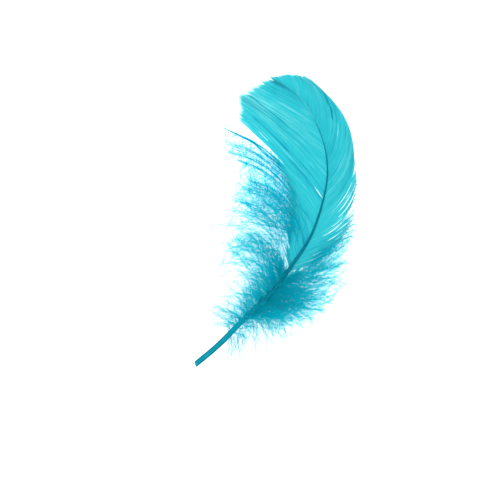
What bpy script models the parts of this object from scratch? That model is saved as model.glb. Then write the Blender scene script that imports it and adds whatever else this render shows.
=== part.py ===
"""Curved goose body feather, dyed turquoise, lying convex side up on a flat surface.

Blender 4.5 script, metres, +Z up. A feather grows as one piece, so this is one closed solid:
a hollow cut quill that tapers into the shaft, a vane on each side that splits into lobes, and
downy locks at the base, all fused. The cut end points to -Y and the tip to +Y. The feather
rests on the cut end, on the margins of both vanes and on its tip, with the shaft arched over.
The origin is at the middle of its footprint, on the surface.
"""

import math
import random

import bmesh
import bpy
import numpy as np

MM = 0.001

# The shaft from the cut end to the tip, in mm: x, y, height of the centreline, radius.
SHAFT = (
    (-27.4, -49.0, 1.00, 0.97),
    (-17.9, -40.8, 2.10, 0.97),
    (-10.0, -32.6, 3.20, 0.90),
    (-2.5, -25.5, 4.20, 0.78),
    (5.2, -15.4, 5.20, 0.64),
    (10.5, -7.7, 5.80, 0.54),
    (15.1, 3.8, 6.20, 0.42),
    (17.3, 15.8, 5.90, 0.36),
    (16.7, 23.2, 5.30, 0.33),
    (12.7, 34.6, 3.40, 0.29),
    (6.0, 43.8, 1.30, 0.25),
    (-1.8, 48.4, 0.27, 0.20),
)
SHAFT_RINGS = 44
SHAFT_END = 0.975
SHAFT_SIDES_LEVEL = 3

# The quill is cut slanting and is hollow for its first stretch.
CUT_SLANT = 20.0
BORE_RADIUS = 0.66
BORE_DEPTH = 13.0
CUTTER_REACH = 6.0

# How the barbs leave the shaft. Each row is one station: its share of the shaft's length, the
# angle to the shaft's forward direction, the further turn along the barb, both in degrees, and
# the barb's length in mm. A positive turn bends left barbs outwards and right barbs back
# towards the tip.
LEFT_BARBS = (
    (0.10, 62, 40, 4.4),
    (0.16, 60, 50, 7.4),
    (0.22, 58, 60, 10.6),
    (0.28, 55, 72, 15.6),
    (0.34, 50, 76, 22.0),
    (0.40, 46, 62, 30.0),
    (0.46, 45, 58, 35.4),
    (0.52, 47, 52, 38.6),
    (0.56, 49, 40, 40.4),
    (0.60, 48, 26, 41.6),
    (0.66, 43, 20, 42.0),
    (0.72, 39, 16, 37.4),
    (0.80, 33, 8, 27.4),
    (0.86, 28, 4, 19.6),
    (0.89, 21, 2, 15.2),
    (0.92, 13, 0, 10.3),
    (0.96, 7, 0, 4.8),
    (0.99, 0, 0, 1.8),
)
RIGHT_BARBS = (
    (0.10, 60, -25, 4.1),
    (0.16, 62, -10, 8.8),
    (0.22, 56, 10, 14.6),
    (0.28, 50, 25, 19.4),
    (0.34, 45, 32, 21.8),
    (0.40, 39, 38, 22.8),
    (0.46, 37, 42, 23.4),
    (0.52, 34, 46, 24.6),
    (0.60, 32, 54, 25.0),
    (0.68, 31.5, 62, 24.9),
    (0.76, 31, 65, 23.4),
    (0.80, 32, 62, 20.2),
    (0.83, 33, 59, 16.4),
    (0.88, 34, 46, 11.2),
    (0.93, 34, 36, 6.8),
    (0.97, 26, 22, 3.5),
    (0.99, 8, 4, 1.8),
)
LEFT, RIGHT = 1, -1
BARBS = {LEFT: LEFT_BARBS, RIGHT: RIGHT_BARBS}
TURN_POWER = {LEFT: 1.3, RIGHT: 1.5}
BARB_STEPS = 24

# The closed vanes run from this station to the tip. Each split has its station, the share of
# the barb where it opens, and how wide it opens at the margin, as a share of the shaft.
VANE_START = 0.40
VANE_END = 0.99
VANE_STATIONS = 34
VANE_ROWS = 7
VANE_THICKNESS = 0.5
FOOT_SHARE = 0.80
SPLITS = {
    LEFT: ((0.470, 0.30, 0.040), (0.565, 0.34, 0.034), (0.593, 0.52, 0.014),
           (0.680, 0.70, 0.012), (0.760, 0.62, 0.012), (0.860, 0.55, 0.012)),
    RIGHT: ((0.470, 0.42, 0.030), (0.530, 0.55, 0.020)),
}
# How much of a barb the loose lower vane still holds together, by station.
HELD_TOGETHER = {
    LEFT: ((0.40, 0.50), (0.46, 0.58), (0.56, 0.82), (0.59, 1.00)),
    RIGHT: ((0.40, 0.62), (0.48, 0.86), (0.56, 1.00)),
}
MARGIN_NOTCH = {LEFT: 0.055, RIGHT: 0.018}

# Downy locks: side, first and last station, how many, thickest radius in mm, highest loft in mm.
LOCKS = (
    (LEFT, 0.115, 0.385, 17, 0.84, 5.2),
    (LEFT, 0.40, 0.56, 8, 0.40, 2.6),
    (RIGHT, 0.125, 0.43, 16, 0.84, 4.6),
)
HANGING_LOCKS = 6
HANGING_HEADING = (-42.0, -72.0)
LOCK_POINTS = 8
LOCK_SIDES_LEVEL = 1
LOCK_CLEARANCE = 0.05
SEED = 25

TURQUOISE = (0.030, 0.530, 0.640, 1.0)
DYED_ROUGHNESS = 0.55


def natural_spline(knots, values, places):
    """Values at the places along a smooth curve through the knots."""
    gaps = np.diff(knots)
    rises = np.diff(values) / gaps
    matrix = np.eye(len(knots))
    right_side = np.zeros(len(knots))
    for i in range(1, len(knots) - 1):
        matrix[i, i - 1 : i + 2] = gaps[i - 1], 2 * (gaps[i - 1] + gaps[i]), gaps[i]
        right_side[i] = 6 * (rises[i] - rises[i - 1])
    bends = np.linalg.solve(matrix, right_side)
    i = np.clip(np.searchsorted(knots, places) - 1, 0, len(gaps) - 1)
    before, after = places - knots[i], knots[i + 1] - places
    cubic = (bends[i] * after**3 + bends[i + 1] * before**3) / (6 * gaps[i])
    straight = values[i] * after + values[i + 1] * before
    return cubic + straight / gaps[i] - gaps[i] * (bends[i] * after + bends[i + 1] * before) / 6


class Shaft:
    """The shaft's centreline, read by the share of its length in plan."""

    def __init__(self):
        points = np.array(SHAFT, float)
        steps = np.hypot(*np.diff(points[:, :2], axis=0).T)
        knots = np.concatenate([[0.0], np.cumsum(steps)])
        fine = np.linspace(0, knots[-1], 1200)
        self.columns = [natural_spline(knots, points[:, k], fine) for k in range(3)]
        self.columns.append(np.interp(fine, knots, points[:, 3]))
        along = np.hypot(np.diff(self.columns[0]), np.diff(self.columns[1]))
        self.arc = np.concatenate([[0.0], np.cumsum(along)])
        self.length = self.arc[-1]
        rise = np.gradient(self.columns[1], self.arc)
        run = np.gradient(self.columns[0], self.arc)
        self.headings = np.unwrap(np.arctan2(rise, run))

    def at(self, station):
        """x, y, height and radius in mm at a station from 0 to 1."""
        return [float(np.interp(station * self.length, self.arc, c)) for c in self.columns]

    def heading(self, station):
        """Direction in plan, in radians from +X."""
        return float(np.interp(station * self.length, self.arc, self.headings))


def eased(share):
    """A smooth step from 0 to 1."""
    share = min(max(share, 0.0), 1.0)
    return share * share * (3 - 2 * share)


def read_table(rows, station):
    """One row of a table of stations, interpolated."""
    columns = np.array(rows, float).T
    return [float(np.interp(station, columns[0], column)) for column in columns[1:]]


def barb_in_plan(shaft, side, station, extra_angle=0.0, extra_turn=0.0, stretch=1.0):
    """The plan points of one barb, in mm, evenly spaced from the shaft to its tip."""
    angle, turn, length = read_table(BARBS[side], station)
    shares = np.linspace(0, 1, BARB_STEPS + 1)
    bend = (turn + extra_turn) * shares ** TURN_POWER[side]
    headings = shaft.heading(station) + np.radians(side * (angle + extra_angle) + bend)
    middle = (headings[1:] + headings[:-1]) / 2
    step = length * stretch / BARB_STEPS
    x, y = shaft.at(station)[:2]
    run = x + np.concatenate([[0.0], np.cumsum(np.cos(middle))]) * step
    rise = y + np.concatenate([[0.0], np.cumsum(np.sin(middle))]) * step
    return np.stack([run, rise], axis=1)


def along_barb(points, share):
    """The point at a share of the way along evenly spaced plan points."""
    places = np.linspace(0, 1, len(points))
    return [float(np.interp(share, places, points[:, k])) for k in (0, 1)]


def vane_height(root_height, share):
    """Height of the vane's underside: rounded over the shaft, then flat on the surface."""
    return root_height * (1 - eased(share / FOOT_SHARE))


def new_object(name, data, collection):
    """Links a new object for the data into a collection."""
    obj = bpy.data.objects.new(name, data)
    collection.objects.link(obj)
    return obj


def tapered_tube(name, points, radii, sides_level, collection):
    """A closed round tube along points in mm, made as a bevelled curve and turned into a mesh."""
    curve = bpy.data.curves.new(name, "CURVE")
    curve.dimensions = "3D"
    curve.bevel_depth = MM
    curve.bevel_resolution = sides_level
    curve.use_fill_caps = True
    spline = curve.splines.new("POLY")
    spline.points.add(len(points) - 1)
    for target, point, radius in zip(spline.points, points, radii):
        target.co = (point[0] * MM, point[1] * MM, point[2] * MM, 1.0)
        target.radius = radius
    drawn = new_object(name + "_line", curve, collection)
    graph = bpy.context.evaluated_depsgraph_get()
    mesh = bpy.data.meshes.new_from_object(drawn.evaluated_get(graph))
    bpy.data.objects.remove(drawn)
    mesh.name = name
    weld(mesh)
    return new_object(name, mesh, collection)


def weld(mesh):
    """Joins points that lie together and turns all faces outwards."""
    work = bmesh.new()
    work.from_mesh(mesh)
    bmesh.ops.remove_doubles(work, verts=work.verts, dist=0.002 * MM)
    bmesh.ops.recalc_face_normals(work, faces=work.faces)
    work.to_mesh(mesh)
    work.free()


def make_shaft(shaft, collection):
    """The quill and shaft as one tapering tube."""
    stations = np.linspace(0, SHAFT_END, SHAFT_RINGS)
    rows = [shaft.at(station) for station in stations]
    points = [row[:3] for row in rows]
    radii = [row[3] for row in rows]
    return tapered_tube("shaft", points, radii, SHAFT_SIDES_LEVEL, collection)


def make_bore(shaft, collection):
    """The cutter for the quill's hollow, which runs out through the cut end."""
    x, y, height, _ = shaft.at(0)
    heading = shaft.heading(0)
    before = [x - math.cos(heading) * CUTTER_REACH, y - math.sin(heading) * CUTTER_REACH, height]
    ends = [shaft.at(share * BORE_DEPTH / shaft.length)[:3] for share in (0, 0.35, 0.7, 1)]
    before[2] -= (ends[1][2] - height) * CUTTER_REACH / (0.35 * BORE_DEPTH)
    radii = (BORE_RADIUS, BORE_RADIUS, BORE_RADIUS, BORE_RADIUS * 0.9, BORE_RADIUS * 0.4)
    return tapered_tube("bore", [before, *ends], radii, SHAFT_SIDES_LEVEL, collection)


def make_end_cutter(shaft, collection):
    """The block that cuts the quill's end off at a slant."""
    mesh = bpy.data.meshes.new("end_cut")
    work = bmesh.new()
    bmesh.ops.create_cube(work, size=CUTTER_REACH * MM)
    work.to_mesh(mesh)
    work.free()
    cutter = new_object("end_cut", mesh, collection)
    x, y, height, radius = shaft.at(0)
    turn = shaft.heading(0) - math.radians(CUT_SLANT)
    back = CUTTER_REACH / 2 - radius * math.tan(math.radians(CUT_SLANT))
    cutter.location = (
        (x - math.cos(turn) * back) * MM,
        (y - math.sin(turn) * back) * MM,
        height * MM,
    )
    cutter.rotation_euler = (0, 0, turn)
    return cutter


def station_at(side, station, low, high, share):
    """A barb's station within its lobe, moved aside where the lobe's splits have opened."""
    opened = {row[0]: row[1:] for row in SPLITS[side]}

    def opening(edge):
        start, width = opened.get(edge, (1.0, 0.0))
        return width / 2 * eased((share - start) / max(1 - start, 1e-6))

    span = high - low
    moved = station + opening(low) * (high - station) / span
    return moved - opening(high) * (station - low) / span


def vane_point(shaft, side, station, lobe, share, notch):
    """A point of the vane's underside, in metres."""
    held = read_table(HELD_TOGETHER[side], station)[0]
    reach = share * held * (1 - notch * eased((share - 0.6) / 0.4))
    placed = station_at(side, station, *lobe, reach)
    x, y = along_barb(barb_in_plan(shaft, side, placed), reach)
    root_height = shaft.at(placed)[2] - VANE_THICKNESS / 2
    return (x * MM, y * MM, vane_height(root_height, reach) * MM)


def vane_stations():
    """Stations shared by both vanes, with every split on one of them."""
    splits = [row[0] for side in SPLITS for row in SPLITS[side]]
    evenly = np.linspace(VANE_START, VANE_END, VANE_STATIONS)
    kept = [s for s in evenly if min(abs(s - split) for split in splits) > 0.006]
    return sorted({round(float(s), 4) for s in [*kept, *splits]})


def make_vanes(shaft, collection):
    """Both vanes as one sheet with slits, raised straight up from its underside."""
    stations = vane_stations()
    draw = random.Random(SEED)
    work = bmesh.new()
    for side in (LEFT, RIGHT):
        edges = [stations[0], *sorted(row[0] for row in SPLITS[side]), stations[-1]]
        for low, high in zip(edges, edges[1:]):
            inside = [s for s in stations if low <= s <= high]
            columns = []
            for station in inside:
                notch = MARGIN_NOTCH[side] * draw.random() * (station < stations[-1])
                shares = [row / VANE_ROWS for row in range(VANE_ROWS + 1)]
                places = [
                    vane_point(shaft, side, station, (low, high), share, notch) for share in shares
                ]
                columns.append([work.verts.new(place) for place in places])
            for one, other in zip(columns, columns[1:]):
                for row in range(VANE_ROWS):
                    corners = [one[row], one[row + 1], other[row + 1], other[row]]
                    work.faces.new(corners if side == RIGHT else corners[::-1])
    bmesh.ops.remove_doubles(work, verts=work.verts, dist=0.002 * MM)
    raised = bmesh.ops.extrude_face_region(work, geom=list(work.faces), use_keep_orig=True)
    tops = [item for item in raised["geom"] if isinstance(item, bmesh.types.BMVert)]
    bmesh.ops.translate(work, verts=tops, vec=(0, 0, VANE_THICKNESS * MM))
    bmesh.ops.recalc_face_normals(work, faces=work.faces)
    mesh = bpy.data.meshes.new("vanes")
    work.to_mesh(mesh)
    work.free()
    return new_object("vanes", mesh, collection)


def lock_points(shaft, plan, station, tip_height, loft, thickest):
    """The centreline and radii of a lock: it leaves the shaft, lofts up and comes down."""
    root_height = shaft.at(station)[2]
    points, radii = [], []
    for share in np.linspace(0, 1, LOCK_POINTS):
        x, y = along_barb(plan, share)
        radius = thickest * (0.45 + 0.55 * math.sin(math.pi * min(share + 0.15, 1.0)))
        radius *= 1 - 0.72 * eased((share - 0.55) / 0.45)
        height = root_height + (tip_height - root_height) * share
        height += loft * math.sin(math.pi * share)
        points.append((x, y, max(height, radius + LOCK_CLEARANCE)))
        radii.append(radius)
    return points, radii


def make_locks(shaft, collection):
    """The downy locks at the base, and the loose strands of the lower left vane."""
    draw = random.Random(SEED + 1)
    made = []
    for side, first, last, count, thickest, highest in LOCKS:
        for station in np.linspace(first, last, count):
            plan = barb_in_plan(
                shaft,
                side,
                float(station),
                draw.uniform(-9, 9),
                draw.uniform(-22, 22),
                draw.uniform(0.86, 1.04),
            )
            tip_height = draw.choice((0.2, 0.5, 1.6, 3.4))
            loft = highest * draw.uniform(0.15, 1.0)
            shape = lock_points(shaft, plan, float(station), tip_height, loft, thickest)
            name = f"lock_{len(made) + 1:02d}"
            made.append(tapered_tube(name, *shape, LOCK_SIDES_LEVEL, collection))
    for i in range(HANGING_LOCKS):
        share = i / (HANGING_LOCKS - 1)
        station = 0.12 + 0.10 * share
        wanted = HANGING_HEADING[1] + (HANGING_HEADING[0] - HANGING_HEADING[1]) * share
        angle = read_table(BARBS[RIGHT], station)[0]
        extra = math.degrees(shaft.heading(station)) - angle - wanted
        plan = barb_in_plan(shaft, RIGHT, station, extra, 0.0, 1.25 - 0.55 * share)
        shape = lock_points(shaft, plan, station, 0.3, 0.4, 0.36)
        name = f"lock_{len(made) + 1:02d}"
        made.append(tapered_tube(name, *shape, LOCK_SIDES_LEVEL, collection))
    return made


def add_boolean(obj, name, operation, operand):
    """A Boolean modifier with an object or a collection as its operand."""
    step = obj.modifiers.new(name, "BOOLEAN")
    step.operation = operation
    step.solver = "EXACT"
    if isinstance(operand, bpy.types.Collection):
        step.operand_type = "COLLECTION"
        step.collection = operand
    else:
        step.object = operand


def hide_helpers(collection):
    """Keeps shapes that only build or cut another out of the render."""
    for obj in collection.objects:
        obj.hide_render = True
        obj.display_type = "WIRE"


def dyed_material():
    """Turquoise dyed keratin."""
    material = bpy.data.materials.new("dyed_feather")
    material.use_nodes = True
    shader = material.node_tree.nodes["Principled BSDF"]
    shader.inputs["Base Color"].default_value = TURQUOISE
    shader.inputs["Roughness"].default_value = DYED_ROUGHNESS
    shader.inputs["Metallic"].default_value = 0.0
    material.diffuse_color = TURQUOISE
    return material


def new_collection(name):
    """A collection linked to the scene."""
    collection = bpy.data.collections.new(name)
    bpy.context.scene.collection.children.link(collection)
    return collection


def main():
    """Builds the feather."""
    for obj in list(bpy.data.objects):
        bpy.data.objects.remove(obj)
    part = new_collection("goose_feather")
    grown = new_collection("grown_from_shaft")
    cutters = new_collection("cutters")
    shaft = Shaft()

    feather = make_shaft(shaft, part)
    feather.name = "feather"
    make_vanes(shaft, grown)
    make_locks(shaft, grown)
    bore = make_bore(shaft, cutters)
    end_cut = make_end_cutter(shaft, cutters)
    hide_helpers(grown)
    hide_helpers(cutters)
    add_boolean(feather, "vanes_and_locks", "UNION", grown)
    add_boolean(feather, "hollow_quill", "DIFFERENCE", bore)
    add_boolean(feather, "slanted_end", "DIFFERENCE", end_cut)
    feather.data.materials.append(dyed_material())
    feather.data.shade_smooth()
    feather.data.set_sharp_from_angle(angle=math.radians(40))


main()
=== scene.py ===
"""A goose body feather dyed turquoise, lying convex side up on a pale surface.

The feather is one grown thing. Its quill, its two vanes and its down are separate meshes that
all stand for the one solid of the source and follow the same shaft and the same barb laws.
Lengths inside the classes are in millimetres, and meshes are made in metres.
"""

import logging
import math
from dataclasses import dataclass, field
from enum import Enum

import bpy
import numpy as np
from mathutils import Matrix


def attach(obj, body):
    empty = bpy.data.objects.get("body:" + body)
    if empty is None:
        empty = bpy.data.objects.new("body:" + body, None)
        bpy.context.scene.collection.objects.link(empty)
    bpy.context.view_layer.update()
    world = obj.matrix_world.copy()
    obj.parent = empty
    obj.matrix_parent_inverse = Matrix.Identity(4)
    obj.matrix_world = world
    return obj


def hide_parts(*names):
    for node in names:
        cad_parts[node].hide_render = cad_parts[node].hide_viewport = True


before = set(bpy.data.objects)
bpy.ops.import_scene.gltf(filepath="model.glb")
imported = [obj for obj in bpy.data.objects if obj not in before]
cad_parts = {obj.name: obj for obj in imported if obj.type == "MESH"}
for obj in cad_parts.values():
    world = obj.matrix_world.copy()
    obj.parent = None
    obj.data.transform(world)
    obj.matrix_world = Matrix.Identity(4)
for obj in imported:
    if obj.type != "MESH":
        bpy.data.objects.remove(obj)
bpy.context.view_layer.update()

MM = 0.001
BODY = "root"
NODE = "feather"
LAYOUT_MAP = "OFBake"
# Height in mm that nothing goes below.
LOWEST = 0.03
# Length of barb, in mm, that carries its full count of barbules.
FULL_RUN = 11.0
# A barb that holds to its neighbours over more than this share of its length has no free strand.
LETS_GO = 0.97
# Share of the barb where its tip begins.
TIP_START = 0.80
# Place across, rise in mm and added depth of dye at the five points of a held barb's section.
RIB_SECTION = (
    (-1.0, -0.055, 0.0),
    (-0.26, -0.005, 0.02),
    (0.0, 0.055, 0.13),
    (0.26, 0.0, 0.02),
    (1.0, 0.015, -0.03),
)
WHITE = (1.0, 1.0, 1.0, 1.0)
UPWARDS = np.array([0.0, 0.0, 1.0])

# Pairs of place and value, and groups of four numbers.
Pairs = tuple[tuple[float, float], ...]
Four = tuple[float, float, float, float]

log = logging.getLogger("feather")


class Side(Enum):
    """The side of the shaft that a barb grows on, seen from above with the tip away."""

    LEFT = 1
    RIGHT = -1


class Slot(Enum):
    """The finishes that the record names."""

    VANE = "vane"
    SHAFT = "shaft"
    DOWN = "down"


def eased(share: np.ndarray) -> np.ndarray:
    """A smooth step from 0 to 1, flat below 0 and above 1."""
    held = np.clip(share, 0.0, 1.0)
    return held * held * (3 - 2 * held)


def near_tip(share: np.ndarray) -> np.ndarray:
    """How far shares of a barb's length are into its tip, from 0 to 1."""
    return eased((share - TIP_START) / (1 - TIP_START))


def read_pairs(pairs: Pairs, place: np.ndarray) -> np.ndarray:
    """Values at places, from pairs of place and value."""
    places, values = zip(*pairs)
    return np.interp(place, places, values)


def cells(share: np.ndarray, count: int) -> tuple[np.ndarray, np.ndarray]:
    """Where shares fall in an even division.

    Args:
        share: places from 0 to 1.
        count: how many cells the division has.

    Returns:
        Each place's cell, and how far into it the place lies, from 0 to 1.
    """
    place = share * count
    cell = np.minimum(place.astype(int), count - 1)
    return cell, place - cell


def blended(rows: np.ndarray, cell: np.ndarray, blend: np.ndarray) -> np.ndarray:
    """Values between each row's value at a cell and the one after it."""
    own = np.arange(len(rows))[:, None]
    return rows[own, cell] * (1 - blend) + rows[own, cell + 1] * blend


def ring_turns(sides: int) -> np.ndarray:
    """Angles of points spread evenly round a ring."""
    return np.arange(sides) * 2 * math.pi / sides


def placed(name: str, data: bpy.types.ID) -> bpy.types.Object:
    """Puts data into the scene.

    Args:
        name: the object's name.
        data: the mesh, lamp or camera that it shows.

    Returns:
        The new object.
    """
    item = bpy.data.objects.new(name, data)
    bpy.context.scene.collection.objects.link(item)
    return item


def cloudy(rng: np.random.Generator, x: np.ndarray, y: np.ndarray) -> np.ndarray:
    """Smooth random values from -1 to 1 over a plane with cells of size 1.

    Args:
        rng: the source of random numbers.
        x: first coordinates, not negative.
        y: second coordinates, not negative.

    Returns:
        The field's value at each place.
    """
    grid = rng.uniform(-1, 1, (int(x.max()) + 2, int(y.max()) + 2))
    i, j = x.astype(int), y.astype(int)
    a, b = eased(x - i), eased(y - j)
    low = grid[i, j] * (1 - b) + grid[i, j + 1] * b
    high = grid[i + 1, j] * (1 - b) + grid[i + 1, j + 1] * b
    return low * (1 - a) + high * a


def unit(vectors: np.ndarray) -> np.ndarray:
    """Vectors along the last axis, brought to length 1."""
    lengths = np.linalg.norm(vectors, axis=-1, keepdims=True)
    return vectors / np.maximum(lengths, 1e-9)


def natural_spline(knots: np.ndarray, values: np.ndarray, places: np.ndarray) -> np.ndarray:
    """A smooth curve through values at knots.

    Args:
        knots: where the values are given.
        values: the value at each knot.
        places: where to read the curve.

    Returns:
        The curve's value at each place.
    """
    gaps = np.diff(knots)
    rises = np.diff(values) / gaps
    matrix = np.eye(len(knots))
    right_side = np.zeros(len(knots))
    for i in range(1, len(knots) - 1):
        matrix[i, i - 1 : i + 2] = gaps[i - 1], 2 * (gaps[i - 1] + gaps[i]), gaps[i]
        right_side[i] = 6 * (rises[i] - rises[i - 1])
    bends = np.linalg.solve(matrix, right_side)
    i = np.clip(np.searchsorted(knots, places) - 1, 0, len(gaps) - 1)
    before, after = places - knots[i], knots[i + 1] - places
    cubic = (bends[i] * after**3 + bends[i + 1] * before**3) / (6 * gaps[i])
    straight = values[i] * after + values[i + 1] * before
    return cubic + straight / gaps[i] - gaps[i] * (bends[i] * after + bends[i + 1] * before) / 6


@dataclass
class Drift:
    """Smooth random curves from -1 to 1, one for each barb, read by share.

    Attributes:
        values: the curves' random turns, one row a barb.
    """

    values: np.ndarray

    @classmethod
    def draw(cls, rng: np.random.Generator, count: int, turns: int) -> "Drift":
        """Draws a number of curves with a number of random turns each."""
        return cls(rng.uniform(-1, 1, (count, turns + 1)))

    def at(self, share: np.ndarray) -> np.ndarray:
        """The curves' values at shares of the barb's length, one row a barb."""
        cell, into = cells(np.clip(share, 0, 1), self.values.shape[1] - 1)
        return blended(self.values, cell, eased(into))


@dataclass
class ShaftLine:
    """The shaft's centreline from the cut end to the tip.

    Attributes:
        stations: x, y, height and radius in mm at twelve places.
        samples: how finely the curve is drawn.
        columns: x, y, height and radius at the samples.
        shares: the samples' shares of the shaft's length.
        headings: the shaft's direction at the samples, in radians from +X.
        length: the shaft's length in plan, in mm.
    """

    stations: tuple[Four, ...] = (
        (-27.4, -49.0, 1.00, 0.97),
        (-17.9, -40.8, 2.10, 0.97),
        (-10.0, -32.6, 3.20, 0.90),
        (-2.5, -25.5, 4.20, 0.78),
        (5.2, -15.4, 5.20, 0.64),
        (10.5, -7.7, 5.80, 0.54),
        (15.1, 3.8, 6.20, 0.42),
        (17.3, 15.8, 5.90, 0.36),
        (16.7, 23.2, 5.30, 0.33),
        (12.7, 34.6, 3.40, 0.29),
        (6.0, 43.8, 1.30, 0.25),
        (-1.8, 48.4, 0.27, 0.20),
    )
    samples: int = 1200
    columns: np.ndarray = field(init=False)
    shares: np.ndarray = field(init=False)
    headings: np.ndarray = field(init=False)
    length: float = field(init=False)

    def __post_init__(self) -> None:
        """Draws the curve once."""
        points = np.array(self.stations)
        steps = np.hypot(*np.diff(points[:, :2], axis=0).T)
        knots = np.concatenate([[0.0], np.cumsum(steps)])
        fine = np.linspace(0, knots[-1], self.samples)
        plan = [natural_spline(knots, points[:, k], fine) for k in range(3)]
        self.columns = np.stack([*plan, np.interp(fine, knots, points[:, 3])])
        along = np.hypot(np.diff(plan[0]), np.diff(plan[1]))
        arc = np.concatenate([[0.0], np.cumsum(along)])
        self.length = float(arc[-1])
        self.shares = arc / self.length
        run, rise = np.gradient(plan[0], arc), np.gradient(plan[1], arc)
        self.headings = np.unwrap(np.arctan2(rise, run))

    def at(self, station: np.ndarray) -> np.ndarray:
        """x, y, height and radius in mm at stations, along a new last axis."""
        return np.stack([np.interp(station, self.shares, c) for c in self.columns], axis=-1)

    def heading(self, station: np.ndarray) -> np.ndarray:
        """The shaft's direction in plan at stations, in radians from +X."""
        return np.interp(station, self.shares, self.headings)


@dataclass(frozen=True)
class Split:
    """A place where the vane parts.

    Attributes:
        station: where the split meets the shaft, as a share of the shaft's length.
        start: the share of the barb where the split opens.
        width: how far it opens at the margin, as a share of the shaft's length.
        lean: how far its middle moves towards the tip at the margin, as the same share.
    """

    station: float
    start: float
    width: float
    lean: float = 0.0


@dataclass
class BarbLaw:
    """How the barbs of one side leave the shaft, bend and end.

    Attributes:
        side: the side of the shaft.
        shaft: the shaft that they grow from.
        rows: station, angle off the shaft, further turn, both in degrees, and length in mm.
        turn_power: how late along the barb its turn comes.
        splits: where the vane parts.
        station_step: spacing of the stations at which the law is drawn.
        steps: how finely each barb is drawn.
        first: the first station drawn.
        last: the last station drawn.
        drawn: points of the drawn barbs in plan, by station and step.
    """

    side: Side
    shaft: ShaftLine
    rows: tuple[Four, ...]
    turn_power: float
    splits: tuple[Split, ...]
    station_step: float = 0.002
    steps: int = 64
    first: float = 0.08
    last: float = 1.0
    drawn: np.ndarray = field(init=False)

    def __post_init__(self) -> None:
        """Draws the law's barbs on a grid of stations and shares."""
        count = int(round((self.last - self.first) / self.station_step)) + 1
        stations = np.linspace(self.first, self.last, count)
        self.drawn = self.grow(stations, self.steps)

    def read(self, station: np.ndarray) -> np.ndarray:
        """Angle, turn and length at stations, along a new last axis."""
        table = np.array(self.rows).T
        return np.stack([np.interp(station, table[0], column) for column in table[1:]], axis=-1)

    def grow(
        self,
        stations: np.ndarray,
        steps: int,
        angle: float | np.ndarray = 0.0,
        turn: float | np.ndarray = 0.0,
        stretch: float | np.ndarray = 1.0,
        wave: float | np.ndarray = 0.0,
    ) -> np.ndarray:
        """Barbs in plan.

        Args:
            stations: where each barb leaves the shaft.
            steps: how many steps along each barb.
            angle: degrees added to the angle off the shaft.
            turn: degrees added to the turn along the barb.
            stretch: factor on the length.
            wave: degrees added to the heading along the barb, one column a step.

        Returns:
            Points in mm, of shape barbs, steps + 1, 2.
        """
        table = self.read(stations)
        shares = (np.arange(steps) + 0.5) / steps
        bend = (table[:, 1] + turn)[:, None] * shares ** self.turn_power
        leave = self.side.value * (table[:, 0] + angle)
        headings = self.shaft.heading(stations)[:, None] + np.radians(leave[:, None] + bend + wave)
        step = (table[:, 2] * stretch / steps)[:, None]
        moves = np.stack([np.cos(headings) * step, np.sin(headings) * step], axis=-1)
        root = self.shaft.at(stations)[:, None, :2]
        return np.concatenate([root, root + np.cumsum(moves, axis=1)], axis=1)

    def place(self, station: np.ndarray, share: np.ndarray) -> np.ndarray:
        """Points of the vane in plan.

        Args:
            station: shares of the shaft's length.
            share: shares of the barb's length.

        Returns:
            x and y in mm along a new last axis.
        """
        across = np.clip((station - self.first) / self.station_step, 0, len(self.drawn) - 1.001)
        along = np.clip(share * self.steps, 0, self.steps - 0.001)
        i, j = across.astype(int), along.astype(int)
        a, b = (across - i)[..., None], (along - j)[..., None]
        near = self.drawn[i, j] * (1 - b) + self.drawn[i, j + 1] * b
        far = self.drawn[i + 1, j] * (1 - b) + self.drawn[i + 1, j + 1] * b
        return near * (1 - a) + far * a

    def lobes(self, start: float, end: float) -> list[tuple[float, float]]:
        """The stretches of vane between splits.

        Args:
            start: the vane's first station.
            end: the vane's last station.

        Returns:
            First and last station of each lobe.
        """
        inner = sorted(s.station for s in self.splits if start < s.station < end)
        edges = [start, *inner, end]
        return list(zip(edges, edges[1:]))

    def parted(self, station: np.ndarray, share: np.ndarray, lobe: tuple[float, float]) -> np.ndarray:
        """Stations moved aside where the splits at the lobe's edges have opened.

        Args:
            station: the barbs' own stations.
            share: shares of the barb's length.
            lobe: first and last station of the lobe they are in.

        Returns:
            Stations of the same shape.
        """
        low, high = lobe
        opened = {s.station: s for s in self.splits}
        moved = station.copy()
        for edge, other, way in ((low, high, 1), (high, low, -1)):
            split = opened.get(edge)
            if split:
                opening = eased((share - split.start) / (1 - split.start))
                shift = (way * split.width / 2 + split.lean) * opening
                moved += shift * (other - station) / (other - edge)
        return moved


def strip_layout(barbs: int, rows: int, columns: int, gap: float) -> np.ndarray:
    """Places on the flat layout for strips side by side, one a barb.

    Args:
        barbs: how many strips.
        rows: points along each strip.
        columns: points across each strip.
        gap: share of the strip's width that stays empty at either side.

    Returns:
        Places of shape barbs, rows, columns, 2.
    """
    u = (np.arange(barbs)[:, None, None] + np.linspace(gap, 1 - gap, columns)) / barbs
    v = np.linspace(0.01, 0.99, rows)[None, :, None]
    return np.stack(np.broadcast_arrays(u, v + 0 * u), axis=-1)


def strip_faces(left: np.ndarray, right: np.ndarray) -> np.ndarray:
    """Faces between neighbouring rows, from the points on their left and on their right."""
    corners = (left[..., :-1, :], right[..., :-1, :], right[..., 1:, :], left[..., 1:, :])
    return np.stack(corners, axis=-1).reshape(-1, 4)


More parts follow.
